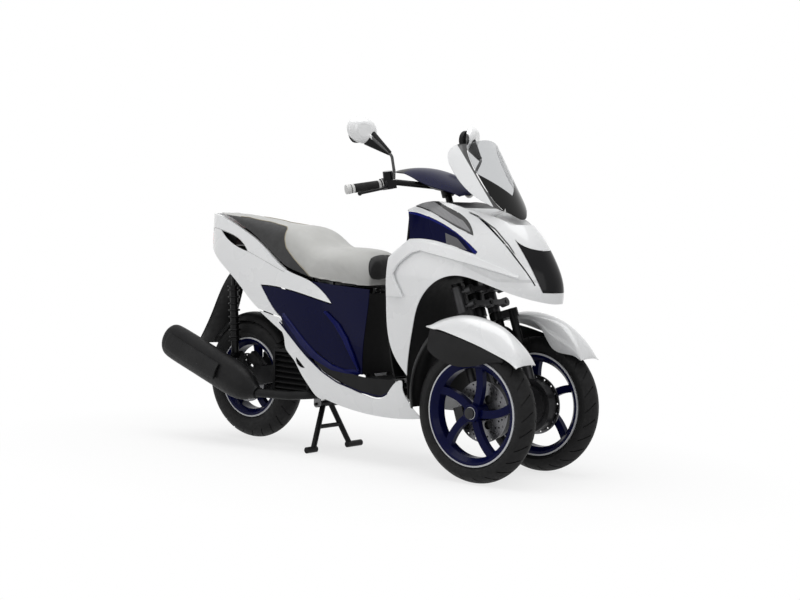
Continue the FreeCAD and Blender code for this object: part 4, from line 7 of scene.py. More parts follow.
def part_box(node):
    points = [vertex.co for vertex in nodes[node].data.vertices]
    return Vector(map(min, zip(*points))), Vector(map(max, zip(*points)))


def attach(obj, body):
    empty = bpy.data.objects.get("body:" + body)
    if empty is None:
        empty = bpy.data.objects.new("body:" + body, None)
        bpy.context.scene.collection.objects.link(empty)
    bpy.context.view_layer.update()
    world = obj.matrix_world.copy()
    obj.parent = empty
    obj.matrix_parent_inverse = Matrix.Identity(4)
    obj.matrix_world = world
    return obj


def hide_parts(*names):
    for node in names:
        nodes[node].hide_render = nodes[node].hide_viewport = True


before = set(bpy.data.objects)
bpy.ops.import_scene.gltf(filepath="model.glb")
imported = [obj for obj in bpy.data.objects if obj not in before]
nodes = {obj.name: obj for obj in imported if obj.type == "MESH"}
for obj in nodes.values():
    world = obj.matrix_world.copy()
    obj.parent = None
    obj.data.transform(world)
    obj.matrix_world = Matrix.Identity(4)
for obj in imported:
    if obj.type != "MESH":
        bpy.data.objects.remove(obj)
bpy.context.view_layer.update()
bpy.ops.object.select_all(action="DESELECT")

SIDES = (("right", -1), ("left", 1))


# Steps that build a finish


def finish(name, colour, roughness, metallic=0.0, coat=0.0):
    """A new material with its plain numbers on the shader's own sockets."""
    material = bpy.data.materials.new(name)
    material.use_nodes = True
    shader = material.node_tree.nodes["Principled BSDF"]
    shader.inputs["Base Color"].default_value = (*colour, 1)
    shader.inputs["Roughness"].default_value = roughness
    shader.inputs["Metallic"].default_value = metallic
    shader.inputs["Coat Weight"].default_value = coat
    shader.inputs["Coat Roughness"].default_value = 0.03
    return material


def add(material, kind, inputs=None, **settings):
    """A node of that kind. Inputs are numbers, colours or other nodes' outputs."""
    made = material.node_tree.nodes.new(kind)
    for key, value in settings.items():
        setattr(made, key, value)
    for key, value in (inputs or {}).items():
        if isinstance(value, bpy.types.NodeSocket):
            material.node_tree.links.new(value, made.inputs[key])
        else:
            made.inputs[key].default_value = value
    return made


def shader_of(material):
    return material.node_tree.nodes["Principled BSDF"]


def feed(material, socket, output):
    material.node_tree.links.new(output, shader_of(material).inputs[socket])


def dull(material, specular):
    """Sets how much the bare surface mirrors, where the plain 0.5 is too much."""
    shader_of(material).inputs["Specular IOR Level"].default_value = specular


def spot(material, centre=(0, 0, 0), stretch=(1, 1, 1)):
    """Object coordinates about a centre, for a pattern that stays on the piece."""
    coordinates = add(material, "ShaderNodeTexCoord")
    mapping = add(material, "ShaderNodeMapping", {"Vector": coordinates.outputs["Object"]},
                  vector_type="TEXTURE")
    mapping.inputs["Location"].default_value = centre
    mapping.inputs["Scale"].default_value = [1 / share for share in stretch]
    return mapping.outputs["Vector"]


def split(material):
    """Object coordinates as X along the vehicle, Y across it and Z up."""
    return add(material, "ShaderNodeSeparateXYZ", {0: spot(material)}).outputs


def noise(material, vector, scale, detail=3.0):
    texture = add(material, "ShaderNodeTexNoise",
                  {"Vector": vector, "Scale": scale, "Detail": detail})
    return texture.outputs["Fac"]


def distance(material, vector):
    return add(material, "ShaderNodeVectorMath", {0: vector}, operation="LENGTH").outputs["Value"]


def maths(material, operation, *values):
    """The result of one sum on numbers or other nodes' outputs."""
    return add(material, "ShaderNodeMath", dict(enumerate(values)), operation=operation).outputs[0]


def times(material, first, second):
    return maths(material, "MULTIPLY", first, second)


def step(material, value, low, high):
    """0 up to low and 1 from high. Low may be the larger one."""
    made = add(material, "ShaderNodeMapRange", {"Value": value, "From Min": low,
                                                "From Max": high})
    return made.outputs[0]


def band(material, value, low, high, soft):
    """1 between low and high, reached within soft of each."""
    return times(material, step(material, value, low, low + soft),
                 step(material, value, high, high - soft))


def ramp(material, value, *stops):
    """A colour ramp. Each stop is a place from 0 to 1 and a colour or a grey."""
    made = add(material, "ShaderNodeValToRGB", {"Fac": value})
    for number, (place, colour) in enumerate(stops):
        if isinstance(colour, (int, float)):
            colour = (colour, colour, colour)
        if number < 2:
            element = made.color_ramp.elements[number]
            element.position = place
        else:
            element = made.color_ramp.elements.new(place)
        element.color = (*colour, 1)
    return made.outputs["Color"]


def blend(material, share, first, second):
    """A colour or a number that goes from first to second as the share goes from 0 to 1."""
    made = add(material, "ShaderNodeMix", {0: share}, data_type="RGBA")
    for socket, value in ((6, first), (7, second)):
        if isinstance(value, bpy.types.NodeSocket):
            material.node_tree.links.new(value, made.inputs[socket])
        elif isinstance(value, (int, float)):
            made.inputs[socket].default_value = (value, value, value, 1)
        else:
            made.inputs[socket].default_value = (*value, 1)
    return made.outputs[2]


def base_colour(material):
    """The output that feeds the shader's base colour so far."""
    return shader_of(material).inputs["Base Color"].links[0].from_socket


def paint_over(material, share, colour):
    """Another base colour where the share is 1."""
    feed(material, "Base Color", blend(material, share, base_colour(material), colour))


def bump(material, height, depth, strength=1.0):
    """Relief, on top of any relief that the material has already."""
    inputs = {"Height": height, "Distance": depth, "Strength": strength}
    normal = shader_of(material).inputs["Normal"]
    if normal.is_linked:
        inputs["Normal"] = normal.links[0].from_socket
    feed(material, "Normal", add(material, "ShaderNodeBump", inputs).outputs["Normal"])


SIDE_REAR = -0.9
SIDE_FRONT = 0.95
SIDE_TOP = 1.25


def side_line(material, parts, *points):
    """How far above a line in the side view the surface is. Points are along and up, in m."""
    along = add(material, "ShaderNodeMapRange", {"Value": parts["X"], "From Min": SIDE_REAR,
                                                 "From Max": SIDE_FRONT})
    stops = [((x - SIDE_REAR) / (SIDE_FRONT - SIDE_REAR), z / SIDE_TOP) for x, z in points]
    tall = times(material, ramp(material, along.outputs[0], *stops), SIDE_TOP)
    return maths(material, "SUBTRACT", parts["Z"], tall)


# Finishes that are the same all over a piece

WHITE_DEEP = (0.80, 0.81, 0.82)
WHITE_LIGHT = (0.86, 0.865, 0.87)
TRIM_BLACK = (0.01, 0.01, 0.011)


def body_paint(name, deep, light, flake, coat=0.8):
    """Lacquered body paint: flakes in the base coat and a faint orange peel."""
    material = finish(name, light, 0.28, 0.0, coat)
    vector = spot(material)
    flakes = noise(material, vector, flake, 1.0)
    feed(material, "Base Color", ramp(material, flakes, (0.35, deep), (0.65, light)))
    broad = noise(material, vector, 6.0)
    feed(material, "Roughness", ramp(material, broad, (0.3, 0.24), (0.7, 0.32)))
    bump(material, noise(material, vector, 260.0, 2.0), 0.00006, 0.35)
    return material


def white_lacquer(name):
    return body_paint(name, WHITE_DEEP, WHITE_LIGHT, 2600.0)


def deep_paint(name, deep=(0.0005, 0.0009, 0.016), light=(0.0010, 0.0020, 0.036)):
    """Very dark blue lacquer, with little sheen of its own over the flakes."""
    material = body_paint(name, deep, light, 3000.0, 0.04)
    dull(material, 0.06)
    return material


def moulded_plastic(name, dark, light, roughness, grain=900.0, depth=0.00012):
    """Moulded plastic with its etched grain and slightly uneven sheen."""
    material = finish(name, light, roughness)
    dull(material, 0.15)
    vector = spot(material)
    patches = noise(material, vector, 9.0)
    feed(material, "Base Color", ramp(material, patches, (0.3, dark), (0.7, light)))
    scuffs = noise(material, vector, 45.0, 5.0)
    low = max(roughness - 0.09, 0.02)
    feed(material, "Roughness", ramp(material, scuffs, (0.3, low), (0.7, roughness + 0.06)))
    bump(material, noise(material, vector, grain, 2.0), depth, 0.5)
    return material


def cast_metal(name, dark, light, roughness, metallic=0.9, grain=420.0, depth=0.0002):
    """Cast or painted metal with a sandy skin and polished high spots."""
    material = finish(name, light, roughness, metallic)
    if metallic == 0.0:
        dull(material, 0.16)
    vector = spot(material)
    feed(material, "Base Color", ramp(material, noise(material, vector, 14.0, 4.0),
                                      (0.3, dark), (0.7, light)))
    feed(material, "Roughness", ramp(material, noise(material, vector, 60.0, 4.0),
                                     (0.3, roughness - 0.08), (0.7, roughness + 0.1)))
    bump(material, noise(material, vector, grain, 3.0), depth, 0.5)
    return material


def rubber(name, dark, light, roughness):
    """Rubber with fine dust in its pores."""
    material = finish(name, light, roughness)
    dull(material, 0.2)
    vector = spot(material)
    feed(material, "Base Color", ramp(material, noise(material, vector, 30.0, 5.0),
                                      (0.35, dark), (0.7, light)))
    feed(material, "Roughness", ramp(material, noise(material, vector, 80.0, 4.0),
                                     (0.3, roughness - 0.1), (0.7, roughness + 0.08)))
    bump(material, noise(material, vector, 1500.0, 2.0), 0.00008, 0.4)
    return material


def clear_plastic(name, tint, roughness):
    material = finish(name, tint, roughness)
    shader_of(material).inputs["Transmission Weight"].default_value = 1.0
    shader_of(material).inputs["IOR"].default_value = 1.3
    return material


WHITE = white_lacquer("pearl_white_lacquer")
NAVY = deep_paint("deep_blue_lacquer")
# Lighter blue for the raised blades and panel creases: a painted highlight on top of their modelled
# relief.
BLADE_HIGHLIGHT_BLUE = deep_paint("blade_painted_highlight_lacquer", (0.0015, 0.0025, 0.045),
                        (0.004, 0.007, 0.085))
BLACK_GLOSS = moulded_plastic("polished_black", (0.004, 0.004, 0.005), (0.008, 0.008, 0.009),
                              0.12, 300.0, 0.00003)
BLACK_GRAIN = moulded_plastic("grained_black", (0.004, 0.004, 0.0045), (0.008, 0.008, 0.0085),
                              0.5)
CHARCOAL = moulded_plastic("charcoal_mudguard", (0.008, 0.008, 0.0085), (0.013, 0.013, 0.0135),
                           0.46)
ENAMEL = cast_metal("black_enamel", (0.003, 0.003, 0.0035), (0.006, 0.006, 0.0065), 0.34, 0.0)
HEAT_BLACK = cast_metal("heat_proof_black", (0.005, 0.005, 0.0055), (0.009, 0.009, 0.0095), 0.48,
                        0.0, 700.0, 0.00012)
HEAT_SATIN = cast_metal("heat_shield_black", (0.007, 0.007, 0.0075), (0.014, 0.014, 0.0145), 0.3,
                        0.0, 300.0, 0.00004)
CASE_DARK = cast_metal("dark_casting", (0.02, 0.02, 0.022), (0.04, 0.04, 0.042), 0.42, 0.6)
CAST_ALLOY = cast_metal("bare_casting", (0.16, 0.16, 0.165), (0.26, 0.26, 0.265), 0.42)
LINKAGE = cast_metal("linkage_paint", (0.03, 0.03, 0.032), (0.05, 0.05, 0.052), 0.4, 0.5)
TYRE = rubber("tyre_rubber", (0.006, 0.006, 0.0063), (0.012, 0.012, 0.0125), 0.62)
PIPING = rubber("piping_cord", (0.30, 0.27, 0.20), (0.38, 0.34, 0.26), 0.6)
SEAM_SHADOW = rubber("seam_thread", (0.02, 0.02, 0.02), (0.03, 0.03, 0.03), 0.7)
RED_LENS = clear_plastic("red_lens", (0.75, 0.02, 0.02), 0.08)
MIRROR_GLASS = finish("mirror_glass", (0.86, 0.88, 0.90), 0.03, 1.0)
mist = noise(MIRROR_GLASS, spot(MIRROR_GLASS), 18.0, 3.0)
feed(MIRROR_GLASS, "Roughness", ramp(MIRROR_GLASS, mist, (0.3, 0.02), (0.7, 0.05)))


# Finishes that change from place to place on a piece

SCREEN_BAND_TOP = 1.012
SCREEN_BAND_RISE = 0.75
SHELL_BOTTOM = 1.176
SHELL_INNER_EDGE = 0.270
SHELL_FRONT = 0.295
COWL_SHUT_LINE = ((0.58, 0.955), (0.625, 0.938), (0.70, 0.893), (0.76, 0.838), (0.80, 0.790))
COWL_PANE_RIM = ((0.27, 0.62), (0.30, 0.745), (0.335, 0.795), (0.40, 0.826), (0.50, 0.815),
                 (0.62, 0.765), (0.74, 0.715))
DASH_PAINTED_FROM = 0.560
LAMP_LOWER = ((0.352, 0.972), (0.430, 0.953), (0.522, 0.914), (0.628, 0.870))
LAMP_UPPER = ((0.352, 0.972), (0.369, 0.993), (0.404, 1.004), (0.441, 0.999), (0.514, 0.963),
              (0.578, 0.933), (0.611, 0.902), (0.628, 0.870))
INSERT_TOP = ((0.333, 0.953), (0.375, 0.947), (0.435, 0.933), (0.495, 0.911), (0.555, 0.886),
              (0.600, 0.858), (0.657, 0.804))
INSERT_PANE_UPPER = ((0.500, 0.884), (0.570, 0.860), (0.628, 0.812))
INSERT_PANE_LOWER = ((0.500, 0.833), (0.532, 0.832), (0.615, 0.816))
BAR_COVER_SPLIT = 0.275
HUB_RING = (0.0165, 0.0222)
GRIP_AXIS = (-0.455, 0.868, -0.195)
GRIP_INNER_END = -0.1105
GRIP_OUTER_END = -0.0185
GRIP_GAPS = (-0.1215, -0.0065)
GRIP_GAP_HALF = 0.0016


def screen_plastic():
    """The tinted screen with its black band, lower in the middle than at the sides."""
    material = clear_plastic("screen_plastic", (0.6, 0.61, 0.62), 0.02)
    parts = split(material)
    side = maths(material, "ABSOLUTE", parts["Y"])
    rise = maths(material, "MULTIPLY_ADD", side, SCREEN_BAND_RISE, SCREEN_BAND_TOP)
    below = maths(material, "LESS_THAN", parts["Z"], rise)
    feed(material, "Base Color", ramp(material, below, (0.0, (0.56, 0.57, 0.58)), (1.0, 0.004)))
    feed(material, "Transmission Weight", maths(material, "SUBTRACT", 1.0, below))
    return material


def mirror_paint():
    """White shells on black stems."""
    material = finish("mirror_shell", WHITE_LIGHT, 0.25, 0.0, 0.8)
    parts = split(material)
    side = maths(material, "ABSOLUTE", parts["Y"])
    shell = times(material, maths(material, "GREATER_THAN", parts["Z"], SHELL_BOTTOM),
                  maths(material, "GREATER_THAN", side, SHELL_INNER_EDGE))
    white = times(material, shell, maths(material, "LESS_THAN", parts["X"], SHELL_FRONT))
    feed(material, "Base Color", ramp(material, white, (0.0, (0.012, 0.012, 0.013)),
                                      (1.0, WHITE_LIGHT)))
    bump(material, noise(material, spot(material), 300.0), 0.00004, 0.3)
    return material


def cowl_paint():
    """White cowl with its second shut line and the crease round the sunk side pane."""
    material = white_lacquer("cowl_white_lacquer")
    parts = split(material)
    offset = maths(material, "ABSOLUTE", side_line(material, parts, *COWL_SHUT_LINE))
    paint_over(material, times(material, step(material, offset, 0.0034, 0.0022),
                               band(material, parts["X"], 0.585, 0.79, 0.01)), TRIM_BLACK)
    rim = side_line(material, parts, *COWL_PANE_RIM)
    bump(material, step(material, rim, 0.004, -0.006), -0.006, 0.9)
    return material


def dash_finish():
    """The dash: painted white in front of the instruments, grained grey behind them."""
    material = moulded_plastic("dash_panel", (0.05, 0.05, 0.054), (0.08, 0.08, 0.084), 0.45)
    front = step(material, split(material)["X"], DASH_PAINTED_FROM, DASH_PAINTED_FROM + 0.002)
    paint_over(material, front, (0.84, 0.845, 0.85))
    return material


def lamp_finish():
    """The side lamps: a black bezel round a strip of grey reflector."""
    material = finish("side_lamp", (0.1, 0.1, 0.1), 0.12, 0.0, 0.9)
    parts = split(material)
    strip = times(material, step(material, side_line(material, parts, *LAMP_LOWER), 0.0045, 0.0055),
                  step(material, side_line(material, parts, *LAMP_UPPER), -0.0125, -0.0135))
    ribs = add(material, "ShaderNodeTexWave", {"Vector": spot(material), "Scale": 60.0,
                                               "Distortion": 0.0}, bands_direction="X")
    grey = ramp(material, ribs.outputs["Fac"], (0.2, (0.16, 0.16, 0.165)),
                (0.8, (0.30, 0.30, 0.31)))
    feed(material, "Base Color", blend(material, strip, (0.012, 0.012, 0.013), grey))
    feed(material, "Roughness", blend(material, strip, 0.10, 0.3))
    return material


def surround_finish():
    """The screen's surround: white wings with a black inner edge."""
    material = white_lacquer("surround_white_lacquer")
    parts = split(material)
    side = maths(material, "ABSOLUTE", parts["Y"])
    edge = maths(material, "MULTIPLY_ADD", parts["Z"], 0.10, -0.004)
    inner = maths(material, "SUBTRACT", side, edge)
    paint_over(material, step(material, inner, 0.004, 0.002), TRIM_BLACK)
    return material


def wheel_paint(name, centre, lip):
    """Deep blue wheel paint with bare machined rings on the flange's lip and round the hub."""
    material = deep_paint(name, (0.001, 0.0018, 0.022), (0.002, 0.004, 0.05))
    out = distance(material, spot(material, centre, (1, 0.0001, 1)))
    ring = band(material, out, lip - 0.0062, lip + 0.0016, 0.0006)
    bright = maths(material, "MAXIMUM", ring, band(material, out, *HUB_RING, 0.0005))
    paint_over(material, bright, (0.66, 0.67, 0.69))
    return material


def darker_behind(name, limit):
    """Deep blue lacquer that is black moulding behind a place along the vehicle."""
    material = deep_paint(name)
    front = step(material, split(material)["X"], limit - 0.0005, limit + 0.0005)
    feed(material, "Base Color", blend(material, front, (0.010, 0.010, 0.011),
                                       base_colour(material)))
    return material


def insert_paint():
    """Deep blue insert: a lighter blue band along its upper edge, painted highlight where light
    would catch a bevel that is not modelled, and a grey pane near its tip.
    """
    material = deep_paint("insert_blue_lacquer")
    parts = split(material)
    edge = side_line(material, parts, *INSERT_TOP)
    # Painted highlight: a lighter blue band along the insert's upper edge.
    paint_over(material, step(material, edge, -0.0085, -0.0070), (0.008, 0.012, 0.13))
    high = side_line(material, parts, *INSERT_PANE_UPPER)
    low = side_line(material, parts, *INSERT_PANE_LOWER)
    lean = maths(material, "MULTIPLY_ADD", parts["Z"], 0.4, -0.868)
    rear = maths(material, "ADD", parts["X"], lean)
    pane = times(material, step(material, high, -0.001, -0.002), step(material, low, 0.001, 0.002))
    pane = times(material, pane, step(material, rear, -0.001, 0.0))
    paint_over(material, pane, (0.13, 0.13, 0.135))
    return material


def grip_finish():
    """Grip rubber between pale flanges, with pale bar-end weights."""
    material = rubber("grip_rubber", (0.010, 0.010, 0.010), (0.020, 0.020, 0.020), 0.68)
    parts = split(material)
    mirrored = add(material, "ShaderNodeCombineXYZ",
                   {0: parts["X"], 1: maths(material, "ABSOLUTE", parts["Y"]), 2: parts["Z"]})
    along = add(material, "ShaderNodeVectorMath", {0: mirrored.outputs[0], 1: GRIP_AXIS},
                operation="DOT_PRODUCT").outputs["Value"]
    pale = maths(material, "MAXIMUM",
                 step(material, along, GRIP_INNER_END, GRIP_INNER_END - 0.001),
                 step(material, along, GRIP_OUTER_END, GRIP_OUTER_END + 0.001))
    for place in GRIP_GAPS:
        gap = band(material, along, place - GRIP_GAP_HALF, place + GRIP_GAP_HALF, 0.0004)
        pale = times(material, pale, maths(material, "SUBTRACT", 1.0, gap))
    paint_over(material, pale, (0.72, 0.72, 0.71))
    return material


def ground_steel(name, centre):
    """A brake disc ground in rings about its axle."""
    material = finish(name, (0.2, 0.2, 0.205), 0.3, 1.0)
    ring = times(material, distance(material, spot(material, centre)), 900.0)
    streak = add(material, "ShaderNodeTexNoise", {"W": ring, "Scale": 1.0},
                 noise_dimensions="1D").outputs["Fac"]
    feed(material, "Roughness", ramp(material, streak, (0.3, 0.22), (0.7, 0.42)))
    feed(material, "Base Color", ramp(material, streak, (0.3, (0.10, 0.10, 0.105)),
                                      (0.7, (0.24, 0.24, 0.25))))
    return material


def wear(material, *names):
    """Gives these CAD nodes that finish."""
    for name in names:
        node = nodes[name]
        node.data.materials.clear()
        node.data.materials.append(material)


wear(WHITE, "tail_cowl", "side_skirts", "right_fender", "left_fender", "grab_rail")
wear(NAVY, "body_sides")
wear(BLACK_GLOSS, "nose_lamp", "hand_controls")
wear(BLACK_GRAIN, "leg_shield", "wheel_liner", "floor", "seat_post_cover", "storage_tub",
     "radiator_cover", "rear_fender", "rear_hugger", "bar_cover_lower", "seat_pan")
wear(CHARCOAL, "right_fender_lower", "left_fender_lower")
wear(ENAMEL, "frame", "handlebar", "right_fork", "left_fork", "centre_stand", "side_stand",
     "shocks")
wear(HEAT_BLACK, "exhaust")
wear(CASE_DARK, "drive_case", "swing_arm", "right_fork_leg", "left_fork_leg")
wear(CAST_ALLOY, "engine")
wear(LINKAGE, "lean_linkage")
wear(RED_LENS, "rear_lamp")
wear(screen_plastic(), "windscreen")
wear(mirror_paint(), "mirrors")
wear(grip_finish(), "grips")
wear(insert_paint(), "side_inserts")
wear(darker_behind("bar_cover_lacquer", BAR_COVER_SPLIT), "bar_cover")
wear(cowl_paint(), "front_cowl")
wear(dash_finish(), "dash")
wear(lamp_finish(), "side_lamps")
wear(surround_finish(), "screen_surround")


# Modelling steps


def pick_out(piece):
    """Makes this the one piece that the next operators work on."""
    bpy.ops.object.select_all(action="DESELECT")
    bpy.context.view_layer.objects.active = piece
    piece.select_set(True)


def start_edit(piece):
    """Enters edit mode with the whole mesh selected."""
    pick_out(piece)
    bpy.ops.object.mode_set(mode="EDIT")
    bpy.ops.mesh.select_all(action="SELECT")


def end_edit():
    bpy.ops.object.mode_set(mode="OBJECT")


def choose_faces(piece, wanted):
    """Enters edit mode with the faces selected that wanted(face) accepts."""
    start_edit(piece)
    bpy.ops.mesh.select_all(action="DESELECT")
    bpy.ops.mesh.select_mode(type="FACE")
    end_edit()
    for face in piece.data.polygons:
        face.select = wanted(face)
    bpy.ops.object.mode_set(mode="EDIT")


def apply_modifier(piece, name, kind, **settings):
    made = piece.modifiers.new(name, kind)
    for key, value in settings.items():
        setattr(made, key, value)
    bpy.ops.object.modifier_apply(modifier=name)


def round_edges(piece, width, segments, angle=30):
    """Rounds the edges that turn by more than the angle, in degrees."""
    apply_modifier(piece, "soft_edge", "BEVEL", width=width, segments=segments,
                   limit_method="ANGLE", angle_limit=math.radians(angle))


def round_cord(places, radius, order):
    """A closed round cord along a smooth curve by these places."""
    bpy.ops.curve.primitive_nurbs_path_add(location=(0, 0, 0))
    cord = bpy.context.object
    spline = cord.data.splines[0]
    spline.points.add(len(places) - len(spline.points))
    for point, place in zip(spline.points, places):
        point.co = (*place, 1)
    spline.order_u = order
    spline.use_endpoint_u = True
    cord.data.bevel_depth = radius
    cord.data.bevel_resolution = 3
    cord.data.use_fill_caps = True
    bpy.ops.object.convert(target="MESH")
    return cord


def settle(piece, name, body, material, smooth=30):
    """Names the piece, places it in its mesh, gives it its finish and lets it ride."""
    pick_out(piece)
    bpy.ops.object.transform_apply(location=True, rotation=True, scale=True)
    bpy.ops.object.shade_smooth_by_angle(angle=math.radians(smooth))
    piece.select_set(False)
    piece.name = name
    piece.data.name = name
    piece.data.materials.clear()
    piece.data.materials.append(material)
    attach(piece, body)
    return piece


def middle(node):
    low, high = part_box(node)
    return (low + high) / 2


def between(start, end, share):
    """The point at that share of the way, in the side view."""
    return [a + (b - a) * share for a, b in zip(start, end)]


# Tyres

PITCHES = 26
PITCH_STEPS = (0.10, 0.20, 0.20, 0.10, 0.20, 0.20)
RIGHT_GROOVE = 0
LEFT_GROOVE = 3
GROOVE_REACH = (0.16, 0.97)
GROOVE_DEPTH = 0.0038
GROOVE_CURVE = 1.6


def arc(start, end, radius, count):
    """Points from start to end round a centre that lies nearer the axle."""
    chord = Vector(end) - Vector(start)
    half = chord.length / 2
    normal = Vector((-chord.y, chord.x)).normalized()
    centre = (Vector(start) + Vector(end)) / 2
    offset = math.sqrt(max(radius * radius - half * half, 0))
    centre += normal * offset if normal.y < 0 else -normal * offset
    first = math.atan2(start[1] - centre.y, start[0] - centre.x)
    last = math.atan2(end[1] - centre.y, end[0] - centre.x)
    points = []
    for number in range(count + 1):
        angle = first + (last - first) * number / count
        points.append((centre.x + radius * math.cos(angle), centre.y + radius * math.sin(angle)))
    return points


def tyre_outline(outer, width, bead, flange, rim_width):
    """Half of the tyre's outline from the crown to the bead, as (across, out)."""
    half = width / 2
    wall = rim_width / 2 - 0.0025
    lip = flange / 2 + 0.0025
    belly = outer / 2 - width * 0.45
    shoulder = outer / 2 - width * 0.30
    crown = arc((0, outer / 2), (half - width * 0.03, shoulder), width * 0.62, 14)
    side = [(half, belly), (half - 0.0010, belly - 0.004), (half - 0.0010, belly - 0.0052),
            (half - 0.0006, belly - 0.0065), (half * 0.93, (belly + lip) / 2 - 0.002),
            (half * 0.80, lip + 0.003), (wall + 0.001, lip), (wall, lip - 0.002), (wall, bead / 2)]
    return crown, side


def make_tyre(name, node, body, sizes, lean):
    """A tyre with curved grooves that run from near the crown's middle to each shoulder."""
    centre = middle(node)
    crown, side = tyre_outline(*sizes)
    reach = crown[-1][0]
    belly = side[0][1]
    half = crown + side
    outline = [(-across, out) for across, out in reversed(half[1:])] + half
    bpy.ops.mesh.primitive_circle_add(vertices=len(outline), radius=0.1, location=(0, 0, 0))
    tyre = bpy.context.object
    for vertex, (across, out) in zip(tyre.data.vertices, outline):
        vertex.co = (0, across, out)
    steps = PITCHES * len(PITCH_STEPS)
    start_edit(tyre)
    bpy.ops.mesh.spin(steps=steps, angle=math.tau, center=(0, 0, 0), axis=(0, 1, 0))
    bpy.ops.mesh.select_all(action="SELECT")
    bpy.ops.mesh.remove_doubles(threshold=0.00002)
    bpy.ops.mesh.normals_make_consistent(inside=False)
    end_edit()
    grooves = []
    for face in tyre.data.polygons:
        x, across, z = face.center
        turn = math.atan2(x, z) % math.tau
        place = int(turn / math.tau * steps) % len(PITCH_STEPS)
        cut = place == RIGHT_GROOVE and across < 0 or place == LEFT_GROOVE and across > 0
        within = GROOVE_REACH[0] < abs(across) / reach < GROOVE_REACH[1]
        grooves.append(math.hypot(x, z) > belly + 0.001 and cut and within)
    edges = [0]
    for share in PITCH_STEPS * PITCHES:
        edges.append(edges[-1] + share)
    for vertex in tyre.data.vertices:
        x, y, z = vertex.co
        out = math.hypot(x, z)
        turn = math.atan2(x, z) % math.tau
        place = round(turn / math.tau * steps) % steps
        share = min(abs(y) / reach, 1.0) if out >= belly else 1.0
        angle = edges[place] / edges[-1] * math.tau + lean * share ** GROOVE_CURVE
        vertex.co = (out * math.sin(angle), y, out * math.cos(angle))
    choose_faces(tyre, lambda face: grooves[face.index])
    bpy.ops.mesh.extrude_region_shrink_fatten(
        TRANSFORM_OT_shrink_fatten={"value": -GROOVE_DEPTH})
    end_edit()
    for vertex in tyre.data.vertices:
        vertex.co += centre
    settle(tyre, name, body, TYRE, 38)
    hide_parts(node)


FRONT_TYRE = (0.4996, 0.090, 0.3556, 0.380, 0.064)
REAR_TYRE = (0.5028, 0.110, 0.3048, 0.330, 0.078)
FRONT_LIP = 0.190
REAR_LIP = 0.165
GROOVE_LEAN = 0.16
make_tyre("right_tread", "right_wheel_tyre", "right_wheel", FRONT_TYRE, GROOVE_LEAN)
make_tyre("left_tread", "left_wheel_tyre", "left_wheel", FRONT_TYRE, GROOVE_LEAN)
make_tyre("rear_tread", "rear_wheel_tyre", "rear_wheel", REAR_TYRE, -GROOVE_LEAN)

for wheel, lip in (("right_wheel", FRONT_LIP), ("left_wheel", FRONT_LIP), ("rear_wheel", REAR_LIP)):
    wear(wheel_paint(wheel + "_blue", middle(wheel + "_rim"), lip), wheel + "_rim")
    wear(ground_steel(wheel + "_steel", middle(wheel + "_disc")), wheel + "_disc")


# Seat

SIDE_SEAM = ((-0.640, 0.922), (-0.599, 0.919), (-0.452, 0.899), (-0.345, 0.884), (-0.329, 0.876),
             (-0.317, 0.841), (-0.299, 0.804), (-0.250, 0.761), (-0.197, 0.720), (-0.158, 0.687),
             (-0.130, 0.668))
NOSE_SEAM = ((0.0885, 0.784), (0.0935, 0.759), (0.0995, 0.729), (0.1055, 0.699))
SEAM_HALF = 0.0006
SKIN_VOXEL = 0.006
SKIN_SHRINK = 0.0035
FILLING_PRESSURE = 4
FILLING_FRAMES = 20
FILLING_CAP = 0.0042
CORD_STEP = 0.012


def seat_finish():
    """Pale grained seat cover with its dark side panels and dark nose, parted at the seams."""
    material = finish("seat_cover", (0.5, 0.5, 0.49), 0.55)
    dull(material, 0.3)
    parts = split(material)
    vector = spot(material)
    soft = noise(material, vector, 12.0, 4.0)
    pale = ramp(material, soft, (0.3, (0.47, 0.47, 0.455)), (0.7, (0.53, 0.53, 0.515)))
    dark = ramp(material, soft, (0.3, (0.026, 0.026, 0.026)), (0.7, (0.040, 0.040, 0.041)))
    side = side_line(material, parts, (-0.86, 0.940), *SIDE_SEAM, (-0.10, 0.60))
    lean = maths(material, "MULTIPLY_ADD", parts["Z"], 0.2, -0.2453)
    nose = maths(material, "ADD", parts["X"], lean)
    panel = maths(material, "MAXIMUM", step(material, side, SEAM_HALF, -SEAM_HALF),
                  step(material, nose, -SEAM_HALF, SEAM_HALF))
    feed(material, "Base Color", blend(material, panel, pale, dark))
    feed(material, "Roughness", ramp(material, noise(material, vector, 70.0, 4.0),
                                     (0.3, 0.48), (0.7, 0.62)))
    grain = add(material, "ShaderNodeTexVoronoi", {"Vector": vector, "Scale": 620.0},
                feature="DISTANCE_TO_EDGE")
    bump(material, grain.outputs["Distance"], 0.0006, 0.45)
    return material


def fill_seat(seat, shares):
    """Swells the skin by cloth pressure, each point by its share of a capped move."""
    rest = [vertex.co.copy() for vertex in seat.data.vertices]
    filling = seat.modifiers.new("filling", "CLOTH")
    filling.settings.use_pressure = True
    filling.settings.uniform_pressure_force = FILLING_PRESSURE
    filling.settings.effector_weights.gravity = 0
    for number in range(1, FILLING_FRAMES + 1):
        bpy.context.scene.frame_set(number)
    bpy.ops.object.modifier_apply(modifier="filling")
    bpy.context.scene.frame_set(1)
    for vertex, start, share in zip(seat.data.vertices, rest, shares):
        move = vertex.co - start
        if move.length > FILLING_CAP:
            move *= FILLING_CAP / move.length
        vertex.co = start + move * share


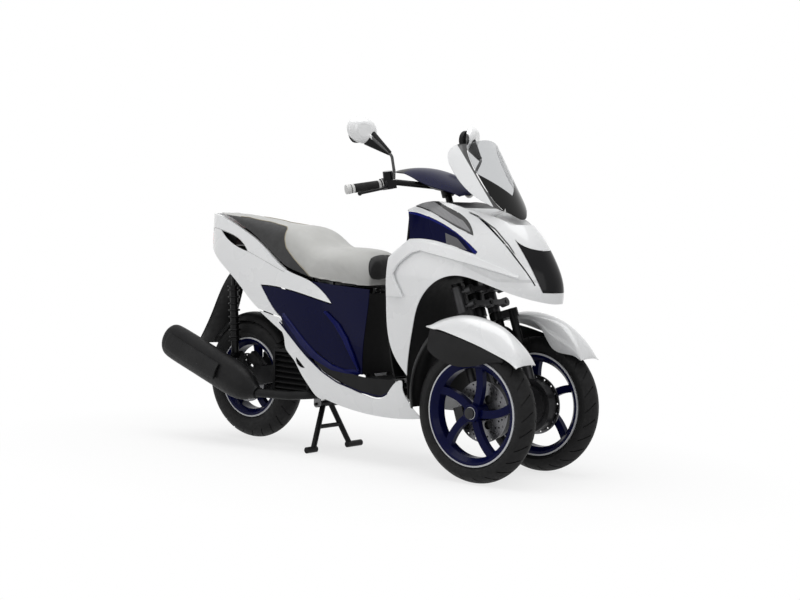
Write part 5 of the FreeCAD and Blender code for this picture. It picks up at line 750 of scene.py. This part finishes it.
def make_seat():
    """The seat cover: the cushion's own form with an even skin, filled by cloth pressure."""
    seat = bpy.data.objects.new("seat_cover", nodes["seat_cushion"].data.copy())
    bpy.context.scene.collection.objects.link(seat)
    start_edit(seat)
    bpy.ops.mesh.remove_doubles(threshold=0.00005)
    end_edit()
    apply_modifier(seat, "even_skin", "REMESH", mode="VOXEL", voxel_size=SKIN_VOXEL)
    apply_modifier(seat, "soft_edges", "SMOOTH", iterations=3)
    shares = [max(0.0, min(1.0, (vertex.normal.z + 0.55) / 0.4)) for vertex in seat.data.vertices]
    start_edit(seat)
    bpy.ops.transform.shrink_fatten(value=-SKIN_SHRINK)
    end_edit()
    fill_seat(seat, shares)
    apply_modifier(seat, "fine_skin", "SUBSURF", levels=1, render_levels=1)
    settle(seat, "seat_cover", "seat", seat_finish(), 60)
    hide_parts("seat_cushion")
    return seat


def piping(name, seam, side, seat, material, radius):
    """A sewn cord along a seam of the seat, laid on the cushion from one side."""
    places = []
    for start, end in zip(seam, seam[1:]):
        count = max(2, round(math.dist(start, end) / CORD_STEP))
        for number in range(count):
            x, z = between(start, end, number / count)
            hit, place, normal, _ = seat.ray_cast(Vector((x, side * 0.4, z)),
                                                  Vector((0, -side, 0)))
            if hit and place.y * side > 0.02:
                places.append(place + normal * radius * 0.2)
    settle(round_cord(places, radius, 3), name, "seat", material, 60)


cushion = make_seat()
bpy.context.view_layer.update()
for word, side in SIDES:
    piping(word + "_side_piping", SIDE_SEAM, side, cushion, PIPING, 0.0021)
    piping(word + "_nose_seam", NOSE_SEAM, side, cushion, SEAM_SHADOW, 0.0014)


# Trim laid on the panels

LIP_OUTER = ((0.292, 0.640), (0.289, 0.700), (0.293, 0.752), (0.326, 0.798), (0.376, 0.838),
             (0.414, 0.848), (0.477, 0.838), (0.560, 0.820), (0.651, 0.795), (0.755, 0.756),
             (0.812, 0.730))
LIP_INNER = ((0.372, 0.640), (0.338, 0.692), (0.322, 0.725), (0.342, 0.757), (0.394, 0.797),
             (0.433, 0.808), (0.487, 0.798), (0.570, 0.781), (0.656, 0.762), (0.755, 0.736),
             (0.812, 0.718))
BLADE_LOWER = ((-0.300, 0.533), (-0.242, 0.478), (-0.179, 0.424), (-0.105, 0.375),
               (-0.016, 0.343), (0.063, 0.336), (0.130, 0.338))
BLADE_UPPER = ((-0.292, 0.543), (-0.232, 0.501), (-0.165, 0.449), (-0.095, 0.400),
               (-0.010, 0.361), (0.065, 0.348), (0.130, 0.346))
CREASE_FRONT = ((-0.052, 0.566), (0.020, 0.521), (0.068, 0.470), (0.105, 0.410), (0.131, 0.352))
CREASE_REAR = ((-0.060, 0.558), (0.002, 0.512), (0.050, 0.462), (0.092, 0.402), (0.126, 0.349))
SKIRT_EDGE = ((-0.310, 0.509), (-0.233, 0.445), (-0.146, 0.382), (-0.063, 0.332),
              (0.017, 0.299), (0.140, 0.273), (0.252, 0.264), (0.284, 0.280))


def side_hit(targets, x, z, side):
    """The outermost point of these pieces in the side view, and its outward normal."""
    best = None
    for target in targets:
        hit, place, normal, _ = target.ray_cast(Vector((x, side * 0.6, z)), Vector((0, -side, 0)))
        if hit and place.y * side > 0.01 and (best is None or place.y * side > best[0].y * side):
            if normal.y * side < 0:
                normal = -normal
            best = (place, normal)
    return best


def along_line(line, share):
    """The point at that share of a line's points, on straight runs between them."""
    reached = share * (len(line) - 1)
    number = min(int(reached), len(line) - 2)
    return between(line[number], line[number + 1], reached - number)


def rib(name, line, side, on, body, material, radius):
    """A moulded rib along a side-view line, sunk a little into the panels that carry it."""
    targets = [nodes[word] for word in on]
    places = []
    count = 5 * len(line)
    for number in range(count + 1):
        found = side_hit(targets, *along_line(line, number / count), side)
        if found:
            places.append(found[0] - found[1] * radius * 0.4)
    settle(round_cord(places, radius, 4), name, body, material, 60)


def raised_band(name, outer, inner, side, on, body, material, proud, flush=0.0, wall=0.004):
    """A moulded band between two side-view lines, proud of its panels along the inner one."""
    targets = [nodes[word] for word in on]
    bpy.ops.mesh.primitive_grid_add(x_subdivisions=48, y_subdivisions=6, size=2,
                                    location=(0, 0, 0))
    strip = bpy.context.object
    found = None
    for vertex in sorted(strip.data.vertices, key=lambda v: (round(v.co.y, 4), v.co.x)):
        share = (vertex.co.x + 1) / 2
        across = (vertex.co.y + 1) / 2
        x, z = between(along_line(outer, share), along_line(inner, share), across)
        found = side_hit(targets, x, z, side) or found
        lift = flush + (proud - flush) * across ** 1.5
        vertex.co = Vector((x, found[0].y, z)) + found[1] * lift
    start_edit(strip)
    if side > 0:
        bpy.ops.mesh.flip_normals()
    end_edit()
    apply_modifier(strip, "wall", "SOLIDIFY", thickness=wall + proud, offset=-1)
    round_edges(strip, 0.0012, 2, 50)
    settle(strip, name, body, material, 40)


def bolt(name, x, z, side, on, body, material, radius, proud):
    """A small domed screw head on a panel, at a side-view place."""
    place, normal = side_hit([nodes[on]], x, z, side)
    turn = normal.to_track_quat("Z", "Y").to_euler()
    bpy.ops.mesh.primitive_cylinder_add(vertices=24, radius=radius, depth=0.005,
                                        location=place + normal * proud, rotation=turn)
    head = bpy.context.object
    choose_faces(head, lambda face: face.normal.z > 0.9)
    bpy.ops.mesh.inset(thickness=radius * 0.35, depth=0.0008)
    bpy.ops.mesh.inset(thickness=radius * 0.12, depth=-0.0016)
    end_edit()
    settle(head, name, body, material, 35)


for word, side in SIDES:
    raised_band(word + "_cowl_lip", LIP_OUTER, LIP_INNER, side, ("front_cowl",), "chassis",
                WHITE, 0.0055)
    # The blades and creases are raised geometry, and their lighter blue is painted highlight.
    raised_band(word + "_blade", BLADE_LOWER, BLADE_UPPER, side, ("body_sides", "floor"),
                "chassis", BLADE_HIGHLIGHT_BLUE, 0.0075, 0.001)
    raised_band(word + "_panel_crease", CREASE_FRONT, CREASE_REAR, side, ("body_sides",),
                "chassis", BLADE_HIGHLIGHT_BLUE, 0.0050)
    rib(word + "_skirt_edge", SKIRT_EDGE, side, ("body_sides", "floor", "side_skirts"),
        "chassis", NAVY, 0.0036)


# Muffler shield

PIPE_END = (-0.934, 0.405)
PIPE_RUN = (0.9446, -0.3283)
PIPE_RISE = (0.3283, 0.9446)
SHIELD_START = 0.045
SHIELD_STEP = 0.032
SHIELD_STEPS = 10
SHIELD_TOP = 0.043
SHIELD_BOTTOM = -0.018
SHIELD_BOW = 0.010
SHIELD_TURN = 0.314
SHIELD_BOLTS = ((0.075, 0.004), (0.225, -0.014), (0.345, 0.010))


def on_pipe(along, above):
    """A side-view place on the muffler, from its rear end and its middle line."""
    return (PIPE_END[0] + PIPE_RUN[0] * along + PIPE_RISE[0] * above,
            PIPE_END[1] + PIPE_RUN[1] * along + PIPE_RISE[1] * above)


upper = []
lower = []
for number in range(SHIELD_STEPS + 1):
    place = SHIELD_START + SHIELD_STEP * number
    bow = SHIELD_BOW * math.sin(SHIELD_TURN * number)
    upper.append(on_pipe(place, SHIELD_TOP))
    lower.append(on_pipe(place, SHIELD_BOTTOM - bow))
raised_band("muffler_shield", upper, lower, -1, ("exhaust",), "chassis", HEAT_SATIN, 0.0060,
            0.004, 0.003)
for number, place in enumerate(SHIELD_BOLTS):
    bolt("shield_bolt_" + str(number), *on_pipe(*place), -1, "exhaust", "chassis", CAST_ALLOY,
         0.0072, 0.0045)


# Wells in the grab slots, and mirrors

WELL_REAR = -0.818
WELL_LENGTH = 0.156
WELL_HEIGHT = 0.070
WELL_MIDDLE = 0.838
WELL_WALL = 0.0016
WELL_OUT = 0.0525
WELL_SLANT = 0.12
STEM_SHELL_END = (0.272, 0.300, 1.216)
STEM_BAR_END = (0.344, 0.2635, 1.158)
GLASS_MIDDLE = (0.2325, 0.319, 1.2345)
GLASS_RADIUS = 0.0385


def grab_well(name, side):
    """A dark inner wall behind a grab slot, slanted as the tail narrows."""
    bpy.ops.mesh.primitive_cube_add(size=1,
                                    location=(WELL_REAR + WELL_LENGTH / 2, 0, WELL_MIDDLE),
                                    scale=(WELL_LENGTH, WELL_WALL, WELL_HEIGHT))
    wall = bpy.context.object
    bpy.ops.object.transform_apply(location=True, rotation=True, scale=True)
    for vertex in wall.data.vertices:
        vertex.co.y += side * (WELL_OUT + (vertex.co.x - WELL_REAR) * WELL_SLANT)
    round_edges(wall, 0.0005, 2)
    settle(wall, name, "chassis", BLACK_GRAIN)


def sided(place, side):
    return Vector((place[0], side * place[1], place[2]))


def mirror_fairing(name, side):
    """The flattened cone between the shell and the stem."""
    start = sided(STEM_SHELL_END, side)
    end = sided(STEM_BAR_END, side)
    run = (end - start).normalized()
    tall = (Vector((0, 0, 1)) - run * run.z).normalized()
    wide = run.cross(tall)
    bpy.ops.mesh.primitive_cone_add(vertices=32, radius1=0.031, radius2=0.0085, depth=1,
                                    location=(0, 0, 0))
    cone = bpy.context.object
    for vertex in cone.data.vertices:
        share = vertex.co.z + 0.5
        vertex.co = (start + (end - start) * share + tall * vertex.co.x
                     + wide * vertex.co.y * (0.55 + 0.45 * share))
    start_edit(cone)
    bpy.ops.mesh.normals_make_consistent(inside=False)
    end_edit()
    round_edges(cone, 0.002, 3)
    settle(cone, name, "handlebar", BLACK_GRAIN, 35)


def mirror_bezel(word, side):
    """The black rim that holds the glass, on the rider's side of the shell."""
    bpy.ops.mesh.primitive_cylinder_add(vertices=64, radius=GLASS_RADIUS, depth=0.018,
                                        location=sided(GLASS_MIDDLE, side),
                                        rotation=(0, -math.pi / 2, 0))
    rim = bpy.context.object
    choose_faces(rim, lambda face: face.normal.z > 0.9)
    bpy.ops.mesh.inset(thickness=0.003, depth=0.001)
    bpy.ops.mesh.inset(thickness=0.0012, depth=-0.002)
    bpy.ops.mesh.separate(type="SELECTED")
    end_edit()
    glass = [piece for piece in bpy.context.selected_objects if piece is not rim][0]
    settle(rim, word + "_mirror_rim", "handlebar", BLACK_GRAIN, 35)
    settle(glass, word + "_mirror_glass", "handlebar", MIRROR_GLASS, 35)


for word, side in SIDES:
    grab_well(word + "_grab_well", side)
    mirror_fairing(word + "_mirror_fairing", side)
    mirror_bezel(word, side)


# Studio

FLOOR_SIZE = 60
FLOOR_DROP = 0.0005
SKY_STRENGTH = 0.42
SOFTBOX_AIM = (0, 0, 0.55)
CAMERA_AZIMUTH = 40.732
CAMERA_ELEVATION = 3.1185
CAMERA_ROLL = 0.906
CAMERA_LENS = 69.04
CAMERA_AIM = (0.0477, 0, 0.5)
CAMERA_BACK = 5.9467
CAMERA_RIGHT = 0.09771
CAMERA_UP = 0.10814


def seen_rays(tree):
    """1 for camera, glossy and transmission rays, which show the white background."""
    path = tree.nodes.new("ShaderNodeLightPath")
    last = path.outputs["Is Camera Ray"]
    for name in ("Is Glossy Ray", "Is Transmission Ray"):
        either = tree.nodes.new("ShaderNodeMath")
        either.operation = "MAXIMUM"
        tree.links.new(last, either.inputs[0])
        tree.links.new(path.outputs[name], either.inputs[1])
        last = either.outputs[0]
    return last


def floor_finish():
    """A white floor that keeps the shadow near the vehicle and fades to plain white."""
    material = finish("studio_floor", (0.8, 0.8, 0.8), 0.9)
    tree = material.node_tree
    soft = add(material, "ShaderNodeBsdfDiffuse", {"Color": (0.30, 0.30, 0.30, 1)})
    glow = add(material, "ShaderNodeEmission", {"Color": (1, 1, 1, 1), "Strength": 0.72})
    white = add(material, "ShaderNodeEmission", {"Color": (1, 1, 1, 1), "Strength": 1.0})
    both = add(material, "ShaderNodeAddShader", {0: soft.outputs[0], 1: glow.outputs[0]})
    fade = step(material, distance(material, spot(material, (0, 0, 0), (0.7, 1, 1))), 0.5, 1.25)
    near = add(material, "ShaderNodeMixShader", {0: fade, 1: both.outputs[0],
                                                 2: white.outputs[0]})
    shown = add(material, "ShaderNodeMixShader", {0: seen_rays(tree),
                                                  1: shader_of(material).outputs[0],
                                                  2: near.outputs[0]})
    tree.links.new(shown.outputs[0], tree.nodes["Material Output"].inputs["Surface"])
    return material


def make_studio():
    bpy.ops.mesh.primitive_plane_add(size=FLOOR_SIZE, location=(0, 0, -FLOOR_DROP))
    floor = bpy.context.object
    floor.name = "studio_floor"
    floor.data.materials.append(floor_finish())

    world = bpy.data.worlds.new("studio")
    bpy.context.scene.world = world
    world.use_nodes = True
    tree = world.node_tree
    sky = tree.nodes["Background"]
    seen = tree.nodes.new("ShaderNodeBackground")
    mix = tree.nodes.new("ShaderNodeMixShader")
    for background, strength in ((sky, SKY_STRENGTH), (seen, 1.0)):
        background.inputs["Color"].default_value = (1, 1, 1, 1)
        background.inputs["Strength"].default_value = strength
    tree.links.new(seen_rays(tree), mix.inputs["Fac"])
    tree.links.new(sky.outputs[0], mix.inputs[1])
    tree.links.new(seen.outputs[0], mix.inputs[2])
    tree.links.new(mix.outputs[0], tree.nodes["World Output"].inputs["Surface"])


def softbox(name, place, size, power):
    light = bpy.data.lights.new(name, "AREA")
    light.shape = "RECTANGLE"
    light.size, light.size_y = size
    light.energy = power
    lamp = bpy.data.objects.new(name, light)
    bpy.context.scene.collection.objects.link(lamp)
    lamp.location = place
    lamp.rotation_euler = (Vector(place) - Vector(SOFTBOX_AIM)).to_track_quat("Z", "Y").to_euler()


def aim_camera():
    """The photograph's viewpoint, from the pieces whose real places are known."""
    azimuth = math.radians(CAMERA_AZIMUTH)
    elevation = math.radians(CAMERA_ELEVATION)
    roll = math.radians(CAMERA_ROLL)
    back = Vector((math.sin(azimuth) * math.cos(elevation),
                   -math.cos(azimuth) * math.cos(elevation), math.sin(elevation)))
    level = Vector((math.cos(azimuth), math.sin(azimuth), 0))
    rise = back.cross(level)
    right = level * math.cos(roll) + rise * math.sin(roll)
    upward = rise * math.cos(roll) - level * math.sin(roll)
    data = bpy.data.cameras.new("photo_view")
    data.sensor_width = 36
    data.lens = CAMERA_LENS
    data.clip_end = 200
    camera = bpy.data.objects.new("photo_view", data)
    bpy.context.scene.collection.objects.link(camera)
    turn = Matrix((right, upward, back)).transposed().to_4x4()
    eye = Vector(CAMERA_AIM) + back * CAMERA_BACK + right * CAMERA_RIGHT + upward * CAMERA_UP
    camera.matrix_world = Matrix.Translation(eye) @ turn
    bpy.context.scene.camera = camera


make_studio()
softbox("overhead", (0.2, -0.4, 3.4), (3.2, 2.2), 58)
softbox("front_fill", (3.4, -2.6, 1.9), (2.0, 2.0), 16)
softbox("side_fill", (-1.5, -3.6, 1.6), (2.4, 1.6), 12)
aim_camera()
bpy.context.scene.view_settings.view_transform = "Standard"
